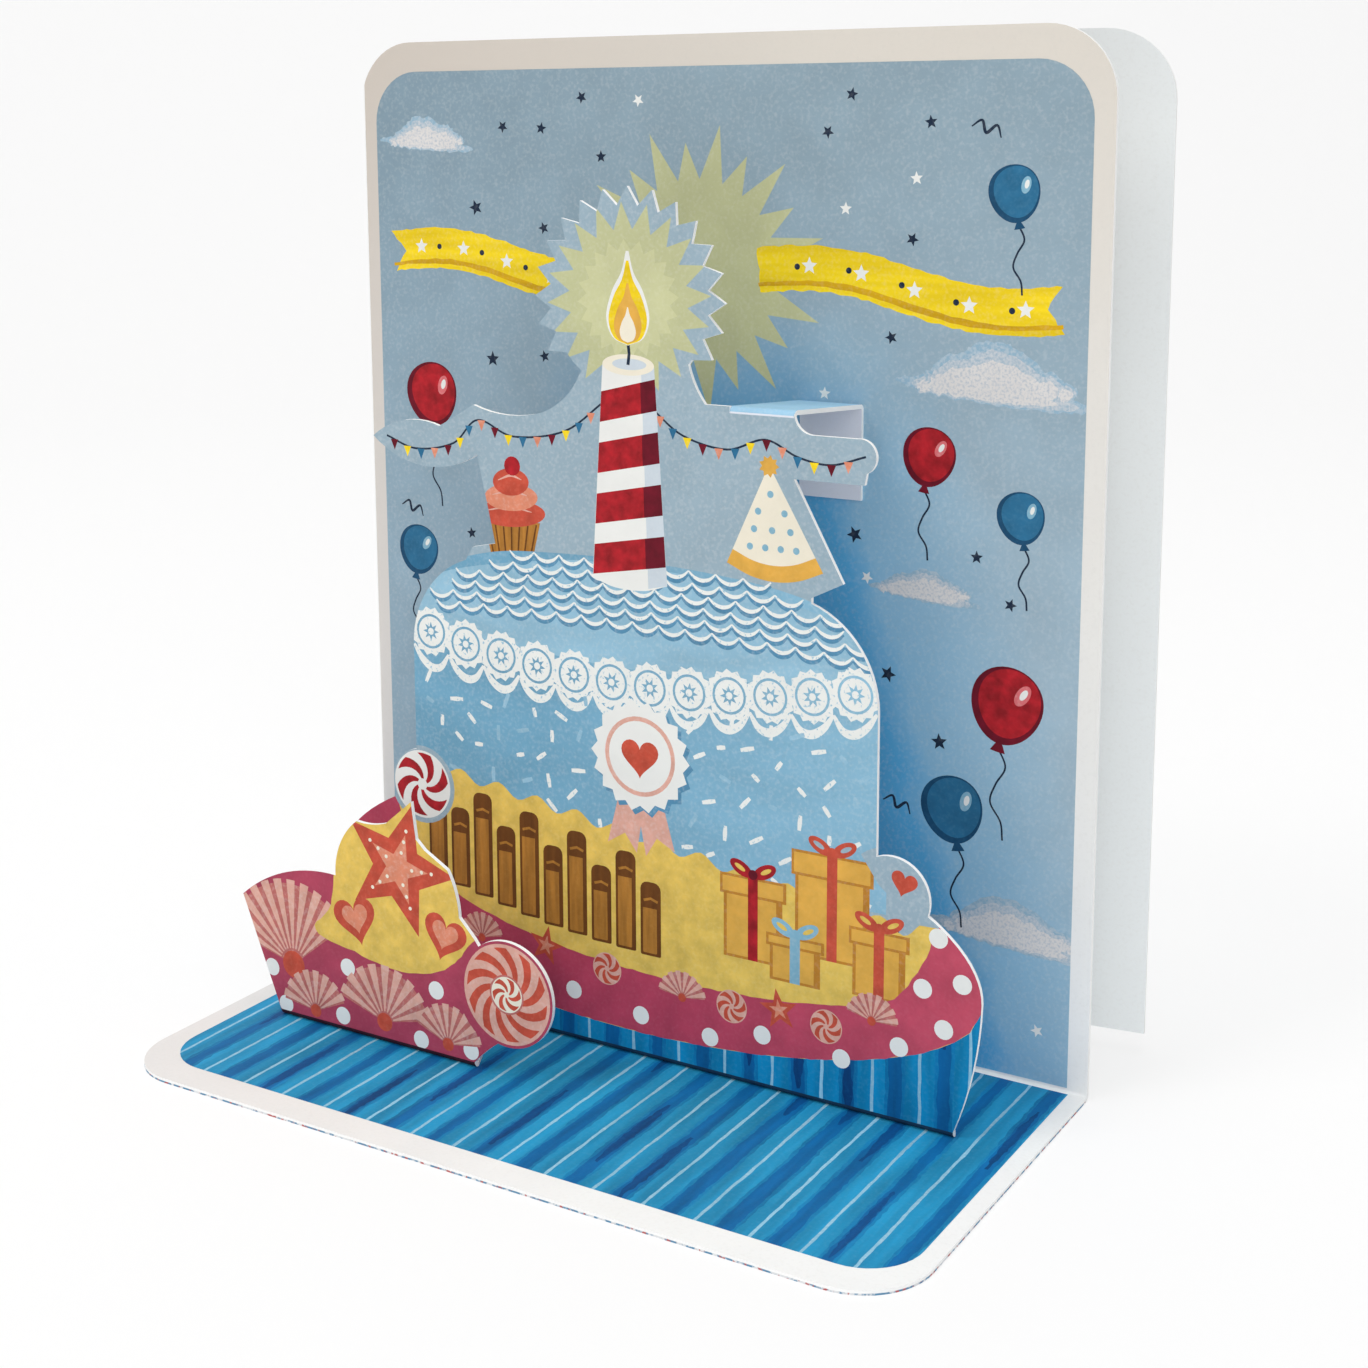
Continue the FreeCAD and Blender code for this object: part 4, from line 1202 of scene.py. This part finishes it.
def heart(cx, cy, size, turn=0.0):
    """A plain heart."""
    t = np.linspace(0, 2 * np.pi, 40, endpoint=False)
    high = 13 * np.cos(t) - 5 * np.cos(2 * t) - 2 * np.cos(3 * t) - np.cos(4 * t)
    return turned(np.column_stack([16 * np.sin(t) ** 3, high]) * size / 17, turn) + (cx, cy)


tall.append(("coral", heart(43.6, 35.0, 2.1, -12)))
ROSETTE_AT = np.array([1.5, 46.2])
ROSETTE = 8.4
for lean in (-13, 13):
    tail = turned([(-1.9, 0), (1.9, 0), (2.7, -14.4), (0.1, -12.2), (-2.4, -14.7)], lean)
    tall.append(("blush", tail + ROSETTE_AT))
tall.append(("cake_deep", star(*(ROSETTE_AT + (0.6, -0.6)), ROSETTE, ROSETTE * 0.88, 18, 0)))
for name, field in (("white", star(*ROSETTE_AT, ROSETTE, ROSETTE * 0.88, 18, 0)),
                    ("blush", disc(*ROSETTE_AT, ROSETTE * 0.71, 36)),
                    ("white", disc(*ROSETTE_AT, ROSETTE * 0.63, 36)),
                    ("coral", heart(*ROSETTE_AT, ROSETTE * 0.40))):
    tall.append((name, field))
print("fields on the tall layer:", len(tall))

# %% [markdown]
# ## Printing the tall layer
# The painting was made about the layer's middle and its foot, so it is moved to where the piece
# stands. It may run past the outline on all sides, because the sheet is cut along the outline
# that was read from the piece. A printer calls that a bleed, and it hides small errors of the die.

# %% Print the tall layer
TALL_MIDDLE = (tall_low.x + tall_high.x) / 2
FOOT = tall_low.z


def moved(fields, dx, dy):
    """Fields drawn about a layer's own middle and foot, moved to their place."""
    return [(name, polygon + np.array([dx, dy])) for name, polygon in fields]


print("the layer's middle and foot are at", round(TALL_MIDDLE, 2), "and", round(FOOT, 2), "mm")
print_sheet("tall_layer_print", tall_outline, moved(tall, TALL_MIDDLE, FOOT), upright(tall_low.y),
            "layer_sky")

# %% [markdown]
# ## The front layer's ground
# The low front layer is the nearest thing to the viewer. Its ground is the rose of the board with
# polka dots and one large paper fan, and a mound of custard fills the pointed part of the die's
# shape.

# %% Paint the front layer's ground
front = [("rose_front", box(-64, 0, 0, 42))]
front_dots = [(-55.6, 7.5), (-41.6, 2.6), (-26.6, 2.2), (-17.4, 2.6), (-58.4, 14.8), (-40.4, 10.6),
              (-23.6, 10.6), (-53.0, 2.0)]
paint_dots(front, front_dots, POLKA_DOT)
paint_fan(front, -51.2, 8.8, 13.0, 102, 128, 11)
mound_foot = smooth([(-42.3, 27), (-43.4, 20), (-46.6, 15.4), (-39, 13.4), (-30, 12.2), (-22, 14.2),
                     (-14.6, 21.0)], 6)
front.append(("custard", rough(np.vstack([mound_foot, [(-14, 42), (-42.3, 42)]]), 0.12, 0.8, 61)))
print("fields on the front layer's ground:", len(front))

# %% [markdown]
# ## A star, hearts, fans and a mint
# A large star with piped dots along its arms and two hearts lie on the mound. Small fans stand
# along the foot, and a round mint fills the round part of the die-cut shape at the right.

# %% Paint the front layer's motifs
STAR_AT = np.array([-30.2, 28.2])
STAR_TURN = 74
front.append(("coral", star(*STAR_AT, 10.6, 4.7, 5, STAR_TURN)))
front.append(("coral_light", star(*STAR_AT, 5.6, 2.2, 5, STAR_TURN)))
for tip in range(5):
    direction = math.radians(STAR_TURN + 72 * tip)
    for reach in (2.6, 4.4, 6.2):
        at = STAR_AT + (reach * math.cos(direction), reach * math.sin(direction))
        front.append(("cream", disc(*at, 0.30, 10)))
for x, level, size, lean in ((-38.6, 18.8, 4.3, 16), (-21.8, 19.4, 4.1, -14)):
    front.append(("coral", heart(x, level, size, lean)))
    front.append(("coral_light", heart(x, level + 0.2, size * 0.62, lean)))
paint_fan(front, -33.5, 3.4, 8.6, 88)
for x, level, radius, turn_by in ((-47.0, 2.2, 6.2, 98), (-21.6, 2.6, 6.0, 84)):
    paint_fan(front, x, level, radius, turn_by, 150, 8)
MINT_AT = (-10.8, 12.7)
front.append(("rose_front", disc(*MINT_AT, 9.0, 44)))
paint_swirl(front, *MINT_AT, 7.6, 20, 10, "blush", "coral")
front.append(("blush_deep", disc(*MINT_AT, 3.0, 26)))
paint_swirl(front, *MINT_AT, 2.7, 50, 6, "cream", "coral")
print("fields on the front layer:", len(front))

# %% [markdown]
# ## Printing the front layer
# The front layer is printed like the tall one: moved to its foot, cut along its outline, and laid
# on its face. It needs no move to the side, because it was painted in the card's own width.

# %% Print the front layer
front_fields = moved(front, 0.0, front_low.z)
front_print = print_sheet("front_layer_print", front_outline, front_fields, upright(front_low.y),
                          "rose_front")
print("the nearest print is", front_print.name)

# %% [markdown]
# ## Bare board
# What the ink doesn't cover is the board itself. Its border is warm white with painted shade: a
# little darker to the top and the left, where less light falls. Its cut edges are the whitest
# thing on the card, the leaf behind is tinted a very pale blue and darkens a little to its top,
# and the backs of the layers are a cool grey-white.

# %% Board materials
# Where the border's painted shade runs, and where the leaf grows darker towards its top, in millimetres.
TOP_SHADE_HEIGHTS, LEFT_SHADE_ACROSS, LEAF_DARKER_HEIGHTS = (10, 145), (20, -HALF_CARD), (95, 150)


def board(name, rgb, speck_rgb=(200, 198, 192), speck=0.10, tint=None, tint_from=None, top_shade_rgb=None,
          left_shade=None):
    """Unprinted board with faint fibre, painted shade near its top and its left, and tinted behind a plane.
    """
    material = new_material(name)
    tree = material.node_tree
    colour = srgb(*rgb)
    drift = spread(tree, noise(tree, 14.0, detail=3.0), 0.3, 0.7)
    base = mix(tree, drift, shade(colour, 0.975), shade(colour, 1.015))
    if top_shade_rgb:
        base = mix(tree, blend_along(tree, "z", *TOP_SHADE_HEIGHTS), base, srgb(*top_shade_rgb))
    if left_shade:
        base = mix(tree, blend_along(tree, "x", *LEFT_SHADE_ACROSS), base, left_shade, "MULTIPLY")
    if tint:
        behind = blend_along(tree, "y", tint_from, tint_from + 0.1)
        leaf = mix(tree, blend_along(tree, "z", *LEAF_DARKER_HEIGHTS), srgb(*tint), shade(srgb(*tint), 0.87))
        base = mix(tree, behind, base, leaf)
    fibres = spread(tree, noise(tree, 0.5, detail=4.0, offset=2.0), 0.5, 0.75, 0.0, speck)
    base = mix(tree, fibres, base, srgb(*speck_rgb))
    finish_board(material, base, grain=1.2)
    return material


# The border's darker top and left are painted shade, where less light falls.
warm_board = board("warm_white_board", (246, 247, 246), top_shade_rgb=(222, 215, 205), tint=(250, 254, 255),
                   tint_from=BACK_FACE + 0.95, left_shade=(0.85, 0.82, 0.81, 1.0))
edge_board = board("cut_edge", (250, 250, 249), speck=0.04)
underside = board("printed_underside", (196, 214, 226), speck_rgb=(30, 92, 140), speck=0.75)
cool_board = board("cool_white_board", (226, 229, 238), speck=0.08)
# Painted shadow for the folds at the layers' feet: dark navy and plum, for the shade where each fold meets
# the base.
dark_fold = board("dark_fold", (26, 58, 84), speck=0.02)
fold_shadow_plum = board("fold_shadow_plum", (60, 22, 34), speck=0.02)
print("materials so far:", len(bpy.data.materials))

# %% [markdown]
# ## The base's cut edge
# The underside of the base is printed too, and the knife drags a little of that ink up into the
# cut. So the lower half of this edge shows blue and red specks, and its upper half is as white as
# every other edge.

# %% A speckled cut edge


def printed_edge(name):
    """A white cut edge on which the underside's print shows as specks along its lower half."""
    material = new_material(name)
    tree = material.node_tree
    blue = spread(tree, noise(tree, 1.1, detail=3.0, offset=1.0), 0.46, 0.54)
    red = spread(tree, noise(tree, 0.9, detail=3.0, offset=6.0), 0.56, 0.60)
    low = mix(tree, red, mix(tree, blue, srgb(222, 224, 226), srgb(92, 142, 176)), srgb(186, 96, 96))
    finish_board(material, mix(tree, blend_along(tree, "z", 0.22, 0.30), low, srgb(250, 250, 249)))
    return material


base_edge = printed_edge("base_cut_edge")
print("materials for the board:", base_edge.name, "and the six before it")

# %% [markdown]
# ## Which face is what
# A loaded piece is one mesh, so each of its faces has to be told what it is. The direction it
# points in and where it lies are enough: what faces sideways was cut, what faces down on the
# base is the underside. The dark line along a layer's foot is painted shadow: the faces of the
# fold are coloured near black for the shade in the narrow gap where the fold meets the base.

# %% Dress the folded card


def dress(node, materials, choose):
    """Give a loaded piece its materials; choose(polygon) picks one by number."""
    mesh = nodes[node].data
    mesh.materials.clear()
    for material in materials:
        mesh.materials.append(material)
    for polygon in mesh.polygons:
        polygon.material_index = choose(polygon)


def card_zone(polygon):
    """Edge, underside or plain face of the folded card."""
    n, c = polygon.normal, polygon.center / MM
    if n.z < -0.9 and c.z < 0.1:
        return 2
    if c.z < BASE_FACE and abs(n.z) < 0.5 and c.y < BACK_FACE - 1:
        return 3
    if abs(n.y) < 0.8 and abs(n.z) < 0.8 and c.y < BACK_FACE - 1:
        return 1
    if c.y < card_low.y + 11 and abs(n.z) < 0.5:
        return 1
    if c.z > BASE_FACE + 2 and abs(n.y) < 0.85:
        return 1
    return 0


dress("folded_card", [warm_board, edge_board, underside, base_edge], card_zone)
print("faces of the folded card:", len(nodes["folded_card"].data.polygons))

# %% [markdown]
# ## The layers and their struts
# The tall layer's own strut is folded back from its upper edge, so its top is still printed side
# up and stays blue. It is told from the arms' cut edges by where the sheet reaches back. The
# strip between the two layers is cut from plain board, and only its two sides are cut edges.

# %% Dress the layers
ARM_FOOT = 90.0
strut_across = [v.co.x / MM for v in nodes["tall_layer"].data.vertices
                if v.co.z / MM > ARM_FOOT and v.co.y / MM > (tall_low.y + tall_high.y) / 2]
strut_left, strut_right = min(strut_across), max(strut_across)


def layer_zone(polygon):
    """Cut edge, painted fold shadow along the foot, printed strut or plain face of a layer."""
    n, c = polygon.normal, polygon.center / MM
    if c.z < FOOT + 1.2 and n.y < -0.05 and n.z < 0.5 and abs(n.x) < 0.5:
        return 2
    if n.z > 0.3 and c.z > ARM_FOOT and abs(n.x) < 0.3 and strut_left < c.x < strut_right:
        return 3
    if abs(n.x) < 0.5 and c.y > tall_low.y + 0.9:
        return 0
    return 1 if abs(n.y) < 0.6 else 0


dress("tall_layer", [cool_board, edge_board, dark_fold, INKS["strut_blue"]], layer_zone)
dress("front_layer", [cool_board, edge_board, fold_shadow_plum, INKS["rose_front"]], layer_zone)
dress("layer_strut", [cool_board, edge_board], lambda polygon: 1 if abs(polygon.normal.x) > 0.9 else 0)
print("board materials on", len(nodes), "pieces")

# %% [markdown]
# ## Floor
# The card stands on a plain pale floor that curves up behind it, so no horizon cuts through the
# picture: a photographer's paper sweep, with a large round bend. It is turned to face the camera.

# %% Sweep the floor
FLOOR_REACH, FLOOR_BACK, FLOOR_TOP, FLOOR_BEND = 3.0, 1.6, 2.6, 0.9
FLOOR_TURN = 31


def sweep_floor():
    """A floor that turns up into a backdrop through a large round bend."""
    flat_end = FLOOR_BACK - FLOOR_BEND
    profile = [(-FLOOR_REACH, 0.0), (flat_end, 0.0)]
    for a in np.radians(np.arange(5, 91, 5)):
        profile.append((flat_end + FLOOR_BEND * math.sin(a), FLOOR_BEND - FLOOR_BEND * math.cos(a)))
    profile.append((FLOOR_BACK, FLOOR_TOP))
    verts = [(x, y, z) for x in (-FLOOR_REACH, FLOOR_REACH) for y, z in profile]
    count = len(profile)
    faces = [(i, i + count, i + 1 + count, i + 1) for i in range(count - 1)]
    mesh = bpy.data.meshes.new("floor")
    mesh.from_pydata(verts, [], faces)
    mesh.update()
    mesh.shade_smooth()
    floor = bpy.data.objects.new("floor", mesh)
    bpy.context.scene.collection.objects.link(floor)
    return floor


floor = sweep_floor()
floor.location.z = cad_low.z
floor.rotation_euler.z = math.radians(FLOOR_TURN)
floor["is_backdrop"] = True
print("floor:", 2 * FLOOR_REACH, "m wide")

# %% [markdown]
# ## A white floor that keeps its shadow
# A product photograph has a white ground. More light would bleach the card, so the floor glows a
# little instead, only for rays that come from the camera or from a reflection. It throws no light
# back on the card, and the card's shadow stays, because part of what is seen is still lit paper.

# %% Floor material
FLOOR_WHITE = 0.62


def pale_floor():
    """Matt paper that glows a little for the camera and for reflections."""
    material = new_material("pale_floor")
    tree = material.node_tree
    shader = tree.nodes["Principled BSDF"]
    shader.inputs["Base Color"].default_value = (0.93, 0.93, 0.93, 1)
    shader.inputs["Roughness"].default_value = 0.9
    shader.inputs["Specular IOR Level"].default_value = 0.1
    rays = tree.nodes.new("ShaderNodeLightPath")
    glow = tree.nodes.new("ShaderNodeEmission")
    sees_white = rays.outputs["Is Camera Ray"]
    for kind in ("Is Glossy Ray", "Is Transmission Ray"):
        either = tree.nodes.new("ShaderNodeMath")
        either.operation = "MAXIMUM"
        tree.links.new(sees_white, either.inputs[0])
        tree.links.new(rays.outputs[kind], either.inputs[1])
        sees_white = either.outputs["Value"]
    share = spread(tree, sees_white, 0, 1, 0, FLOOR_WHITE)
    blend = tree.nodes.new("ShaderNodeMixShader")
    tree.links.new(share, blend.inputs["Fac"])
    tree.links.new(shader.outputs["BSDF"], blend.inputs[1])
    tree.links.new(glow.outputs["Emission"], blend.inputs[2])
    tree.links.new(blend.outputs["Shader"], tree.nodes["Material Output"].inputs["Surface"])
    return material


floor.data.materials.append(pale_floor())
print("the floor glows by", FLOOR_WHITE, "of white")

# %% [markdown]
# ## Light
# A soft lamp from the upper left throws the layers' shadows to the right across the back panel,
# and that is what shows how far they stand out from it. A wide fill from the right keeps those
# shadows blue instead of black, and a soft lamp overhead lifts the base, which the other two only
# graze.

# %% Lamps
CARD_MIDDLE = (cad_low + cad_high) / 2


def lamp(name, place, size, power, colour):
    """A square soft lamp that faces the card."""
    light = bpy.data.lights.new(name, "AREA")
    light.size = size
    light.energy = power
    light.color = colour
    obj = bpy.data.objects.new(name, light)
    bpy.context.scene.collection.objects.link(obj)
    obj.location = place
    obj.rotation_euler = (CARD_MIDDLE - Vector(place)).to_track_quat("-Z", "Y").to_euler()


lamp("key", (-0.85, -1.25, 1.75), 0.9, 12.5, (1.0, 0.975, 0.94))
lamp("fill", (1.25, -1.70, 0.75), 1.6, 13.0, (0.94, 0.97, 1.0))
lamp("top", (0.05, -0.08, 2.00), 0.9, 15.0, (1.0, 1.0, 1.0))
world = bpy.data.worlds.new("studio")
bpy.context.scene.world = world
world.use_nodes = True
background = world.node_tree.nodes["Background"]
background.inputs["Color"].default_value = (1.0, 1.0, 1.0, 1.0)
background.inputs["Strength"].default_value = 0.42

# %% [markdown]
# ## Camera
# The card is seen from a little to the right of its front and slightly above its base. The
# photograph's upright lines stay parallel, which a real camera does with a shifted lens, so
# part of the downward view here is lens shift instead of tilt.

# %% Camera
CAMERA_AT = (157.85, -235.70, 136.20)
CAMERA_AZIMUTH = 31.05
CAMERA_ELEVATION = 9.50
CAMERA_ROLL = -0.19
LENS_MM = 54.9
SHIFT_UP = -0.15

camera_data = bpy.data.cameras.new("camera")
camera = bpy.data.objects.new("camera", camera_data)
bpy.context.scene.collection.objects.link(camera)
bpy.context.scene.camera = camera
camera_data.lens = LENS_MM
camera_data.shift_y = SHIFT_UP
camera_data.clip_start = 0.01
around, down, roll = (math.radians(v) for v in (CAMERA_AZIMUTH, CAMERA_ELEVATION, CAMERA_ROLL))
forward = Vector((-math.sin(around) * math.cos(down), math.cos(around) * math.cos(down), -math.sin(down)))
right = Vector((math.cos(around), math.sin(around), 0))
up = right.cross(forward)
right_rolled = right * math.cos(roll) + up * math.sin(roll)
up_rolled = up * math.cos(roll) - right * math.sin(roll)
turn = Matrix((right_rolled, up_rolled, -forward)).transposed()
camera.matrix_world = Matrix.Translation(Vector(CAMERA_AT) * MM) @ turn.to_4x4()
bpy.context.scene.view_settings.view_transform = "Standard"
print("camera", round(camera.location.length / MM), "mm from the origin")

# %% [markdown]
# ## Sizes
# The printed film lies just off the board, so the card's box is measured again with it, set
# against the box of the construction, and how far it grew is printed. The printed film may
# not make the card larger than its construction.

# %% Measure how far the card grew
seen_low, seen_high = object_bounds()
grown = [round(max(abs(p), abs(q)) / MM, 3) for p, q in zip(seen_low - cad_low, seen_high - cad_high)]
print("grown by, mm:", grown)
